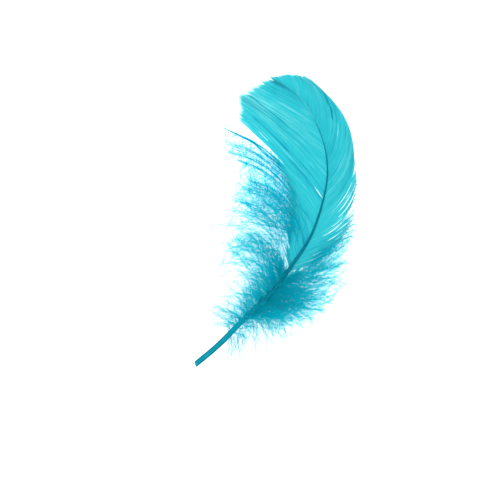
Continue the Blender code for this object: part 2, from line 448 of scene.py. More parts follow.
@dataclass
class StrandMesh:
    """Gathers the points and faces of one piece, with its tone and its place on each barb.

    Attributes:
        points: groups of points in mm.
        faces: the groups' faces.
        tone: depth of the dye at the points, from 0 pale to 1 deep.
        across: place across the barb at the points, from -1 to 1.
        along: distance along the barb at the points, in mm.
        layout: the points' places on the flat layout.
        count: how many points there are so far.
    """

    points: list[np.ndarray] = field(default_factory=list)
    faces: list[np.ndarray] = field(default_factory=list)
    tone: list[np.ndarray] = field(default_factory=list)
    across: list[np.ndarray] = field(default_factory=list)
    along: list[np.ndarray] = field(default_factory=list)
    layout: list[np.ndarray] = field(default_factory=list)
    count: int = 0

    def add(
        self,
        points: np.ndarray,
        faces: np.ndarray,
        tone: np.ndarray,
        across: np.ndarray,
        along: np.ndarray,
        layout: np.ndarray,
    ) -> None:
        """Adds a group of points and the faces between them.

        Args:
            points: places in mm.
            faces: corners of each face, as indices into these points.
            tone: depth of the dye at each point, from 0 pale to 1 deep.
            across: place across the barb at each point, from -1 to 1.
            along: distance along the barb at each point, in mm.
            layout: place of each point on the flat layout.
        """
        self.points.append(points.reshape(-1, 3))
        self.faces.append(faces + self.count)
        for store, values in ((self.tone, tone), (self.across, across), (self.along, along)):
            store.append(np.broadcast_to(values, points.shape[:-1]).ravel())
        self.layout.append(layout.reshape(-1, 2))
        self.count += len(self.points[-1])

    def sheets(self, grid: np.ndarray, tone: np.ndarray, across: np.ndarray, along: np.ndarray) -> None:
        """Adds one thin sheet for each barb.

        Args:
            grid: points of shape barbs, rows, columns, 3.
            tone: depth of the dye at the points.
            across: place across the barb at the points.
            along: distance along the barb at the points.
        """
        barbs, rows, columns = grid.shape[:3]
        index = np.arange(barbs * rows * columns).reshape(barbs, rows, columns)
        faces = strip_faces(index[..., :-1], index[..., 1:])
        layout = strip_layout(barbs, rows, columns, 0.15)
        self.add(grid, faces, tone, across, along, layout)

    def rods(self, line: np.ndarray, radius: np.ndarray, sides: int, tone: np.ndarray) -> None:
        """Adds one thin closed rod for each barb.

        Args:
            line: centre points of shape barbs, rows, 3.
            radius: radius in mm at the centre points.
            sides: how many flat sides each rod has.
            tone: depth of the dye at the centre points.
        """
        barbs, rows = line.shape[:2]
        forward = unit(np.gradient(line, axis=1))
        beside = unit(np.cross(forward, UPWARDS))
        above = np.cross(beside, forward)
        turns = ring_turns(sides) + math.pi / 2
        ring = beside[:, :, None] * np.cos(turns)[:, None] + above[:, :, None] * np.sin(turns)[:, None]
        grid = line[:, :, None] + ring * radius[:, :, None, None]
        index = np.arange(barbs * rows * sides).reshape(barbs, rows, sides)
        faces = strip_faces(index, np.roll(index, -1, axis=2))
        layout = strip_layout(barbs, rows, sides, 0.2)
        step = np.linalg.norm(np.diff(line, axis=1), axis=-1)
        walked = np.concatenate([np.zeros((barbs, 1)), np.cumsum(step, axis=1)], axis=1)
        self.add(grid, faces, tone[:, :, None], np.cos(turns), walked[:, :, None], layout)

    def blades(self, line: np.ndarray, width: np.ndarray, tone: np.ndarray, layout: np.ndarray) -> None:
        """Adds small ribbons that narrow to a point.

        Args:
            line: centre points of shape blades, rows, 3.
            width: width of each blade at its root, in mm.
            tone: depth of the dye on each blade.
            layout: place of each blade on the flat layout.
        """
        count, rows = line.shape[:2]
        forward = unit(line[:, -1] - line[:, 0])
        beside = unit(np.cross(forward, UPWARDS)) * (width[:, None] / 2)
        narrow = 1 - 0.4 * np.arange(rows - 1) / (rows - 1)
        ways = np.array([-1.0, 1.0])
        offset = beside[:, None, None] * (narrow[:, None] * ways)[None, :, :, None]
        body = (line[:, :-1, None] + offset).reshape(count, -1, 3)
        grid = np.concatenate([body, line[:, -1:]], axis=1)
        corners = [[2 * k, 2 * k + 1, 2 * k + 3, 2 * k + 2] for k in range(rows - 2)]
        last = 2 * (rows - 2)
        corners.append([last, last + 1, last + 2, last + 2])
        each = grid.shape[1]
        faces = (np.arange(count)[:, None, None] * each + np.array(corners)).reshape(-1, 4)
        across = np.append(np.tile(ways, rows - 1), 0.0)
        layout = np.repeat(layout[:, None], each, axis=1)
        self.add(grid, faces, tone[:, None], across, np.array(0.0), layout)

    def make(self, name: str, material: bpy.types.Material) -> bpy.types.Object:
        """Makes the piece.

        Args:
            name: the piece's name.
            material: its finish.

        Returns:
            The new object, in metres.
        """
        points = np.concatenate(self.points)
        points[:, 2] = np.maximum(points[:, 2], LOWEST)
        polygons = [
            tuple(row) if row[2] != row[3] else tuple(row[:3])
            for row in np.concatenate(self.faces).tolist()
        ]
        mesh = bpy.data.meshes.new(name)
        mesh.from_pydata((points * MM).tolist(), [], polygons)
        mesh.update()
        for label, values in (("tone", self.tone), ("across", self.across), ("along", self.along)):
            stored = mesh.attributes.new(label, "FLOAT", "POINT")
            stored.data.foreach_set("value", np.concatenate(values).astype(np.float32))
        corner = np.empty(len(mesh.loops), np.int32)
        mesh.loops.foreach_get("vertex_index", corner)
        layer = mesh.uv_layers.new(name=LAYOUT_MAP)
        layer.uv.foreach_set("vector", np.concatenate(self.layout)[corner].astype(np.float32).ravel())
        mesh.shade_smooth()
        mesh.materials.append(material)
        return placed(name, mesh)


def srgb(red: int, green: int, blue: int) -> Four:
    """A screen colour as the linear colour that shaders take.

    Args:
        red: from 0 to 255.
        green: from 0 to 255.
        blue: from 0 to 255.

    Returns:
        Linear red, green, blue and a full alpha.
    """
    values = [c / 255 for c in (red, green, blue)]
    linear = [c / 12.92 if c <= 0.04045 else ((c + 0.055) / 1.055) ** 2.4 for c in values]
    return (*linear, 1.0)


@dataclass(frozen=True)
class Dye:
    """The dye's three depths on one kind of surface.

    Attributes:
        deep: the linear colour where the tone is 1.
        body: the colour where the tone is 0.5.
        pale: the colour where the tone is 0.
    """

    deep: Four
    body: Four
    pale: Four


class NodeSheet:
    """Places and joins nodes in one node tree.

    Attributes:
        spacing: distance between the nodes' places in the tree's drawing.
    """

    spacing: int = 190

    def __init__(self, tree: bpy.types.NodeTree) -> None:
        """Takes a node tree and empties it.

        Args:
            tree: the tree to place nodes in.
        """
        self.tree = tree
        self.tree.nodes.clear()
        self.column = 0

    def add(self, kind: str, values: dict[str, object] | None = None, **settings: object) -> bpy.types.Node:
        """Adds a node to the right of the last one.

        Args:
            kind: the node's type.
            values: values for its inputs, by their labels.
            settings: properties to set on the node itself.

        Returns:
            The new node.
        """
        node = self.tree.nodes.new(kind)
        node.location = (self.column * self.spacing, 0)
        self.column += 1
        for name, value in settings.items():
            setattr(node, name, value)
        for label, value in (values or {}).items():
            node.inputs[label].default_value = value
        return node

    def math(self, operation: str, first: object, second: object = None) -> bpy.types.NodeSocket:
        """Adds a Math node.

        Args:
            operation: what it does.
            first: a socket or a number.
            second: a socket or a number.

        Returns:
            The node's result.
        """
        node = self.add("ShaderNodeMath", operation=operation)
        for socket, value in zip(node.inputs, (first, second)):
            if isinstance(value, bpy.types.NodeSocket):
                self.join(value, socket)
            elif value is not None:
                socket.default_value = value
        return node.outputs[0]

    def join(self, source: bpy.types.NodeSocket, target: bpy.types.NodeSocket) -> None:
        """Joins an output to an input."""
        self.tree.links.new(source, target)

    def stored(self, name: str) -> bpy.types.NodeSocket:
        """The values stored on the mesh under a name."""
        return self.add("ShaderNodeAttribute", attribute_name=name).outputs["Fac"]


@dataclass(frozen=True)
class DyeUptake:
    """The group that turns the tone on a barb into the dye's colour, with uneven uptake.

    Attributes:
        name: the group's name.
        detail: how finely the uneven patches are broken up.
    """

    name: str = "dye_uptake"
    detail: float = 3.0

    def build(self) -> bpy.types.NodeTree:
        """Builds the node group once.

        Returns:
            The group.
        """
        if self.name in bpy.data.node_groups:
            return bpy.data.node_groups[self.name]
        tree = bpy.data.node_groups.new(self.name, "ShaderNodeTree")
        for label, kind in (
            ("Tone", "NodeSocketFloat"),
            ("Patch Scale", "NodeSocketFloat"),
            ("Patch Depth", "NodeSocketFloat"),
            ("Deep", "NodeSocketColor"),
            ("Body", "NodeSocketColor"),
            ("Pale", "NodeSocketColor"),
        ):
            tree.interface.new_socket(label, in_out="INPUT", socket_type=kind)
        tree.interface.new_socket("Colour", in_out="OUTPUT", socket_type="NodeSocketColor")
        sheet = NodeSheet(tree)
        given = sheet.add("NodeGroupInput").outputs
        place = sheet.add("ShaderNodeTexCoord").outputs["Object"]
        patches = sheet.add("ShaderNodeTexNoise", {"Detail": self.detail})
        sheet.join(place, patches.inputs["Vector"])
        sheet.join(given["Patch Scale"], patches.inputs["Scale"])
        uneven = sheet.math("SUBTRACT", patches.outputs["Fac"], 0.5)
        uneven = sheet.math("MULTIPLY", uneven, given["Patch Depth"])
        tone = sheet.math("ADD", uneven, given["Tone"])
        colour = given["Pale"]
        # The mix node's colour sockets share their names with others, so they go by number.
        for label, start in (("Body", 0.0), ("Deep", 0.5)):
            limits = {"From Min": start, "From Max": start + 0.5}
            share = sheet.add("ShaderNodeMapRange", limits, interpolation_type="SMOOTHSTEP")
            sheet.join(tone, share.inputs["Value"])
            mixed = sheet.add("ShaderNodeMix", data_type="RGBA")
            sheet.join(share.outputs["Result"], mixed.inputs[0])
            sheet.join(colour, mixed.inputs[6])
            sheet.join(given[label], mixed.inputs[7])
            colour = mixed.outputs[2]
        sheet.join(colour, sheet.add("NodeGroupOutput").inputs["Colour"])
        return tree


@dataclass(frozen=True)
class KeratinGrain:
    """The group that draws fine ribs: barbules on a barb, growth bars on a quill.

    Attributes:
        name: the group's name.
    """

    name: str = "keratin_grain"

    def build(self) -> bpy.types.NodeTree:
        """Builds the node group once.

        Returns:
            The group.
        """
        if self.name in bpy.data.node_groups:
            return bpy.data.node_groups[self.name]
        tree = bpy.data.node_groups.new(self.name, "ShaderNodeTree")
        for label in ("Across", "Along", "Pitch", "Slant"):
            tree.interface.new_socket(label, in_out="INPUT", socket_type="NodeSocketFloat")
        tree.interface.new_socket("Height", in_out="OUTPUT", socket_type="NodeSocketFloat")
        sheet = NodeSheet(tree)
        given = sheet.add("NodeGroupInput").outputs
        outwards = sheet.math("ABSOLUTE", given["Across"])
        slanted = sheet.math("MULTIPLY", outwards, given["Slant"])
        turns = sheet.math("MULTIPLY", given["Along"], given["Pitch"])
        wave = sheet.math("SINE", sheet.math("ADD", turns, slanted))
        sheet.join(sheet.math("MULTIPLY_ADD", wave, 0.5), sheet.add("NodeGroupOutput").inputs[0])
        return tree


@dataclass(frozen=True)
class DyedFinish:
    """A dyed keratin surface that lets some light through.

    Attributes:
        name: the material's name.
        dye: the dye's colours.
        roughness: how matt the surface is.
        through: share of the light that passes through.
        patch_scale: size of uneven patches, in patches a metre.
        patch_depth: how strong the patches are.
        pitch: ribs in radians a mm.
        slant: how far the ribs lean, in radians from the middle to the edge.
        relief: how strongly the ribs show.
        gloss: strength of the surface's own reflection.
        rib_height: height of the ribs in metres.
    """

    name: str
    dye: Dye
    roughness: float
    through: float
    patch_scale: float
    patch_depth: float
    pitch: float
    slant: float
    relief: float
    gloss: float
    rib_height: float = 0.00002

    def build(self) -> bpy.types.Material:
        """Builds the material once.

        Returns:
            The material.
        """
        if self.name in bpy.data.materials:
            return bpy.data.materials[self.name]
        material = bpy.data.materials.new(self.name)
        material.use_nodes = True
        material.diffuse_color = self.dye.body
        sheet = NodeSheet(material.node_tree)
        uptake = {
            "Patch Scale": self.patch_scale,
            "Patch Depth": self.patch_depth,
            "Deep": self.dye.deep,
            "Body": self.dye.body,
            "Pale": self.dye.pale,
        }
        colour = sheet.add("ShaderNodeGroup", uptake, node_tree=DyeUptake().build())
        sheet.join(sheet.stored("tone"), colour.inputs["Tone"])
        ribs = {"Pitch": self.pitch, "Slant": self.slant}
        grain = sheet.add("ShaderNodeGroup", ribs, node_tree=KeratinGrain().build())
        sheet.join(sheet.stored("across"), grain.inputs["Across"])
        sheet.join(sheet.stored("along"), grain.inputs["Along"])
        bump = sheet.add("ShaderNodeBump", {"Strength": self.relief, "Distance": self.rib_height})
        sheet.join(grain.outputs["Height"], bump.inputs["Height"])
        surface = {"Roughness": self.roughness, "Specular IOR Level": self.gloss}
        face = sheet.add("ShaderNodeBsdfPrincipled", surface)
        sheet.join(colour.outputs["Colour"], face.inputs["Base Color"])
        sheet.join(bump.outputs["Normal"], face.inputs["Normal"])
        behind = sheet.add("ShaderNodeBsdfTranslucent")
        sheet.join(colour.outputs["Colour"], behind.inputs["Color"])
        both = sheet.add("ShaderNodeMixShader", {"Fac": self.through})
        sheet.join(face.outputs["BSDF"], both.inputs[1])
        sheet.join(behind.outputs["BSDF"], both.inputs[2])
        sheet.join(both.outputs["Shader"], sheet.add("ShaderNodeOutputMaterial").inputs["Surface"])
        return material


VANE_FINISH = DyedFinish(
    name="dyed_vane",
    dye=Dye(deep=srgb(0, 150, 178), body=srgb(52, 204, 214), pale=srgb(140, 234, 238)),
    roughness=0.50,
    through=0.35,
    patch_scale=55.0,
    patch_depth=0.22,
    pitch=26.0,
    slant=9.0,
    relief=0.35,
    gloss=0.12,
)
QUILL_FINISH = DyedFinish(
    name="dyed_quill",
    dye=Dye(deep=srgb(0, 122, 146), body=srgb(0, 166, 188), pale=srgb(120, 226, 236)),
    roughness=0.34,
    through=0.25,
    patch_scale=160.0,
    patch_depth=0.30,
    pitch=4.2,
    slant=0.4,
    relief=0.20,
    gloss=0.05,
)
# Painted light: the down's dye is set brighter than the threads' own colour, and brightest at tone 1 where
# the roots crowd together, to lift the shade that the close strands cast on one another.
DOWN_DYE_AND_PAINTED_FILL = DyedFinish(
    name="dyed_down_and_painted_fill",
    dye=Dye(deep=srgb(0, 231, 245), body=srgb(26, 226, 235), pale=srgb(112, 211, 220)),
    roughness=0.70,
    through=0.80,
    patch_scale=90.0,
    patch_depth=0.30,
    pitch=14.0,
    slant=0.0,
    relief=0.10,
    gloss=0.05,
)


@dataclass
class Quill:
    """The hollow cut quill and the shaft that it tapers into.

    Attributes:
        shaft: its centreline.
        sides: points round each ring.
        rings: rings along the outside.
        end: the last station of the solid shaft.
        bore: radius of the hollow in mm.
        bore_depth: how deep the hollow is in mm.
        slant: angle of the cut in degrees.
        rachis_start: the station where the round quill turns into the squarer shaft.
        seed: start of the random numbers.
        bulge: how far the shaft's four corners stand out, as a share of its radius.
        groove: depth of the groove along its underside, as the same share.
        groove_width: half the groove's width round the shaft, in radians.
        flatness: how much lower than wide the shaft is, as a share.
        cut_run: distance in mm over which the rings lose the cut's slant.
        change_run: share of the shaft's length over which the quill turns into the shaft.
        flank_painted_shade: strength of the painted shade on the flanks, which makes the dye look deeper
            there than on top.
        rim_depth: depth of the dye on the rim of the cut.
        bore_tint: depth of the dye in the hollow.
        cap_depth: depth of the dye on the caps of pith.
        bore_rings: rings along the hollow.
        caps: distances of the dried caps of pith from the cut, in mm.
        banding: how strongly the dye differs between growth bands.
        band_turns: how many times it turns deeper or paler along the shaft.
        slimming: station and factor on the radius, so that the vane closes over the shaft's sides.
        depths: station and depth of the dye on the shaft.
    """

    shaft: ShaftLine
    sides: int = 24
    rings: int = 150
    end: float = 0.985
    bore: float = 0.66
    bore_depth: float = 13.0
    slant: float = 20.0
    rachis_start: float = 0.13
    seed: int = 3
    bulge: float = 0.16
    groove: float = 0.34
    groove_width: float = 0.38
    flatness: float = 0.10
    cut_run: float = 4.0
    change_run: float = 0.12
    flank_painted_shade: float = 1.05
    rim_depth: float = 0.35
    bore_tint: float = 0.30
    cap_depth: float = 0.75
    bore_rings: int = 26
    caps: tuple[float, ...] = (1.6, 3.9, 6.1, 8.8, 11.2)
    banding: float = 0.14
    band_turns: int = 60
    slimming: Pairs = (
        (0.00, 1.00),
        (0.30, 1.00),
        (0.45, 0.85),
        (0.62, 0.72),
        (0.80, 0.55),
        (0.98, 0.35),
    )
    depths: Pairs = (
        (0.00, 0.52),
        (0.11, 0.54),
        (0.17, 0.50),
        (0.23, 0.70),
        (0.32, 0.86),
        (0.50, 0.84),
        (0.68, 0.86),
        (0.78, 0.55),
        (0.84, 0.15),
        (0.95, 0.05),
    )

    def frame_at(self, station: np.ndarray) -> tuple[np.ndarray, np.ndarray, np.ndarray]:
        """Centre, sideways and upward directions on the shaft.

        Args:
            station: shares of the shaft's length.

        Returns:
            Three arrays with a new last axis of 3.
        """
        row = self.shaft.at(station)
        nearby = 0.002
        ahead = self.shaft.at(station + nearby)
        behind = self.shaft.at(station - nearby)
        forward = unit(ahead[..., :3] - behind[..., :3])
        left = unit(np.cross(UPWARDS, forward))
        return row[..., :3], left, np.cross(forward, left)

    def cut_reach(self, across: np.ndarray) -> np.ndarray:
        """How far the slanted cut lies along the quill, in mm, by sideways place in mm."""
        lean = math.radians(self.slant)
        return (self.shaft.stations[0][3] * math.tan(lean) + across * math.sin(lean)) / math.cos(lean)

    def ring_points(self, distance: np.ndarray, radius: np.ndarray, square: np.ndarray) -> np.ndarray:
        """Rings of points round the shaft, leaning near the cut.

        Args:
            distance: how far each ring lies from the cut, in mm.
            radius: each ring's radius in mm.
            square: how square each ring is, from 0 to 1.

        Returns:
            Points of shape rings, sides, 3.
        """
        turns = ring_turns(self.sides)
        side, up = np.cos(turns), np.sin(turns)
        square = square[:, None]
        bulge = 1 + self.bulge * square * np.sin(2 * turns) ** 2
        below = np.exp(-(((turns - 1.5 * math.pi) / self.groove_width) ** 2))
        across = radius[:, None] * side * bulge
        groove = self.groove * square * below
        height = radius[:, None] * up * bulge * (1 - self.flatness * square) * (1 - groove)
        lean = self.cut_reach(across) * (1 - eased(distance / self.cut_run))[:, None]
        station = (distance[:, None] + lean) / self.shaft.length
        centre, left, above = self.frame_at(station)
        return centre + left * across[..., None] + above * height[..., None]

    def skin(
        self, mesh: StrandMesh, distance: np.ndarray, radius: np.ndarray, tone: np.ndarray, inward: bool
    ) -> None:
        """Adds one tube of rings.

        Args:
            mesh: the mesh to add to.
            distance: how far each ring lies from the cut, in mm.
            radius: each ring's radius in mm.
            tone: depth of the dye at each ring's points.
            inward: whether the tube's face looks at the hollow.
        """
        square = eased((distance / self.shaft.length - self.rachis_start) / self.change_run)
        grid = self.ring_points(distance, radius, square)
        rings = len(distance)
        index = np.arange(rings * self.sides).reshape(rings, self.sides)
        around = np.roll(index, -1, axis=1)
        corners = [index[:-1], index[1:], around[1:], around[:-1]]
        faces = np.stack(corners[::-1] if inward else corners, axis=-1).reshape(-1, 4)
        u = np.linspace(0.02, 0.46, self.sides) + (0.5 if inward else 0.0)
        layout = np.stack(np.broadcast_arrays(u, (distance / self.shaft.length)[:, None]), axis=-1)
        mesh.add(grid, faces, tone, np.cos(ring_turns(self.sides)), distance[:, None], layout)

    def build(self) -> bpy.types.Object:
        """Builds the quill and shaft.

        Returns:
            The new piece.
        """
        rng = np.random.default_rng(self.seed)
        mesh = StrandMesh()
        length = self.shaft.length
        distance = length * self.end * np.linspace(0, 1, self.rings) ** 1.15
        station = distance / length
        radius = self.shaft.at(station)[:, 3] * read_pairs(self.slimming, station)
        radius[-1] = 0.01
        # Painted shade: the dye is made deeper on the quill's flanks than on its top, standing in for the
        # darker edges that a round tube shows when lit from above.
        painted_edge_shade = self.flank_painted_shade * np.abs(np.cos(ring_turns(self.sides))) ** 3
        places = np.linspace(0, 1, self.rings)[None, :]
        bands = self.banding * Drift.draw(rng, 1, self.band_turns).at(places)[0]
        quill_share = 1 - eased((station - 0.11) / 0.05)
        tone = read_pairs(self.depths, station) + bands * quill_share
        tone = tone[:, None] + painted_edge_shade * (0.25 + 0.75 * quill_share)[:, None]
        self.skin(mesh, distance, radius, tone, inward=False)
        depth = np.linspace(0, self.bore_depth, self.bore_rings)
        narrow = self.bore * np.sqrt(np.clip(1 - (depth / self.bore_depth) ** 6, 0.0004, 1))
        hollow_tone = np.full((self.bore_rings, self.sides), self.bore_tint)
        self.skin(mesh, depth, narrow, hollow_tone, inward=True)
        self.rim(mesh)
        for place in self.caps:
            self.membrane(mesh, place, rng)
        return mesh.make("quill", QUILL_FINISH.build())

    def rim(self, mesh: StrandMesh) -> None:
        """Adds the ring of wall that shows at the slanted cut.

        Args:
            mesh: the mesh to add to.
        """
        flat = np.zeros(1)
        outer = self.ring_points(flat, np.array([self.shaft.stations[0][3]]), flat)[0]
        inner = self.ring_points(flat, np.array([self.bore]), flat)[0]
        index = np.arange(self.sides)
        around = np.roll(index, -1)
        corners = (index, around, around + self.sides, index + self.sides)
        layout = np.full((2 * self.sides, 2), 0.48)
        faces = np.stack(corners, axis=-1)
        points = np.concatenate([outer, inner])
        nought = np.array(0.0)
        mesh.add(points, faces, np.array(self.rim_depth), nought, nought, layout)

    def membrane(self, mesh: StrandMesh, place: float, rng: np.random.Generator) -> None:
        """Adds one dried cap of pith across the hollow.

        Args:
            mesh: the mesh to add to.
            place: its distance from the cut in mm.
            rng: the source of random numbers.
        """
        shares = np.array([1.0, 0.8, 0.5, 0.02])
        distance = place + 0.7 * (1 - shares**2) + rng.uniform(-0.2, 0.2)
        tone = np.full((len(shares), self.sides), self.cap_depth)
        self.skin(mesh, distance, self.bore * 0.98 * shares, tone, inward=False)


@dataclass(frozen=True)
class BarbMark:
    """A stretch of some barbs where the dye looks deeper or paler.

    Attributes:
        station: the middle of the mark on the shaft.
        spread: half its width, as a share of the shaft's length.
        start: share of the barb where it begins.
        end: share of the barb where it ends.
        depth: how much deeper, or paler if negative.
        slope: how far the mark's station moves over the barb's length.
        soft: share of the mark over which it fades at either end.
    """

    station: float
    spread: float
    start: float
    end: float
    depth: float
    slope: float = 0.0
    soft: float = 0.25

    def at(self, station: np.ndarray, share: np.ndarray) -> np.ndarray:
        """The mark's strength.

        Args:
            station: shares of the shaft's length.
            share: shares of the barb's length.

        Returns:
            What to add to the tone.
        """
        middle = self.station + self.slope * (share - self.start)
        beside = np.exp(-(((station - middle) / self.spread) ** 2))
        soft = self.soft * (self.end - self.start)
        window = eased((share - self.start) / soft) * eased((self.end - share) / soft)
        return self.depth * beside * window


@dataclass(frozen=True)
class Slit:
    """A narrow gap between two barbs.

    Attributes:
        station: where it lies on the shaft.
        start: share of the barb where it opens.
        end: share of the barb where it closes.
        width: how wide it opens in mm.
        fade: how far along the shaft its push on the barbs fades, as a share of the shaft's length.
    """

    station: float
    start: float
    end: float
    width: float
    fade: float = 0.012

    def push(self, station: np.ndarray, share: np.ndarray, length: float) -> np.ndarray:
        """How far the barbs beside the slit move aside.

        Args:
            station: the barbs' own stations.
            share: shares of the barb's length.
            length: the shaft's length in mm.

        Returns:
            What to add to the stations.
        """
        away = station - self.station
        window = np.sin(math.pi * np.clip((share - self.start) / (self.end - self.start), 0, 1))
        return np.sign(away) * self.width / 2 / length * window * np.exp(-np.abs(away) / self.fade)


@dataclass(frozen=True)
class Fringe:
    """The barbules along loose barbs.

    Attributes:
        count: how many on each barb.
        length: their length in mm at the barb's root.
        thinning: how much shorter they are at the barb's tip, as a share.
        width: their width in mm.
        lean: their angle off the barb in degrees.
        roll: how far they stand out of the flat, in degrees.
        curl: how far each bends aside at each joint.
        paling: how much less dye shows in them than in their barb.
        joints: how many straight stretches each has.
        spread: how far the lean differs between them, in degrees.
        shyness: how much shorter they are beside the barb's root, as a share.
        shy_share: the share of the barb over which they grow to their full length.
        uneven: smallest and largest factor on their length.
        follow: how far each bends towards the barb's tip at each joint.
    """

    count: int
    length: float
    thinning: float
    width: float
    lean: float = 48.0
    roll: float = 60.0
    curl: float = 0.40
    paling: float = 0.16
    joints: int = 2
    spread: float = 12.0
    shyness: float = 0.0
    shy_share: float = 0.28
    uneven: tuple[float, float] = (0.55, 1.3)
    follow: float = 0.25

    def grow(
        self,
        mesh: StrandMesh,
        line: np.ndarray,
        scale: np.ndarray,
        tone: np.ndarray,
        rng: np.random.Generator,
    ) -> None:
        """Adds the barbules to a mesh.

        Args:
            mesh: the mesh to add to.
            line: the barbs' centre points, of shape barbs, rows, 3.
            scale: factor on the barbules' length for each barb.
            tone: depth of the dye at the centre points.
            rng: the source of random numbers.
        """
        barbs, rows = line.shape[:2]
        run = np.linalg.norm(np.diff(line, axis=1), axis=2).sum(axis=1)[:, None]
        forward = unit(np.gradient(line, axis=1))
        share = (np.arange(self.count) + rng.uniform(0, 1, (barbs, self.count))) / self.count
        share = 0.02 + 0.97 * share
        cell, into = cells(share, rows - 1)
        root = blended(line, cell, into[..., None])
        ahead = unit(blended(forward, cell, into[..., None]))
        beside = unit(np.cross(ahead, UPWARDS))
        above = np.cross(beside, ahead)
        shape = share.shape
        way = np.where(np.arange(self.count) % 2 == 0, 1.0, -1.0)
        roll = np.radians(rng.uniform(-self.roll, self.roll, shape))
        lean = np.radians(self.lean + rng.normal(0, self.spread, shape))
        out = beside * (np.cos(roll) * way)[..., None] + above * np.sin(roll)[..., None]
        aim = ahead * np.cos(lean)[..., None] + out * np.sin(lean)[..., None]
        size = self.length * (1 - self.thinning * share) * rng.uniform(*self.uneven, shape)
        size *= 1 - self.shyness * (1 - eased(share / self.shy_share))
        kept = (rng.uniform(0, 1, shape) < run / FULL_RUN).ravel()
        step = (size * scale[:, None] / self.joints)[..., None]
        points = [root]
        for _ in range(self.joints):
            points.append(points[-1] + aim * step)
            aim = unit(aim + ahead * self.follow + rng.normal(0, self.curl, (*shape, 3)))
        depth = np.take_along_axis(tone, cell, axis=1) - self.paling
        middle = (np.arange(barbs)[:, None] + 0.5) / barbs
        layout = np.stack(np.broadcast_arrays(middle, share), axis=-1)
        width = np.full(share.size, self.width)[kept]
        curves = np.stack(points, axis=-2).reshape(share.size, -1, 3)[kept]
        mesh.blades(curves, width, depth.ravel()[kept], layout.reshape(-1, 2)[kept])


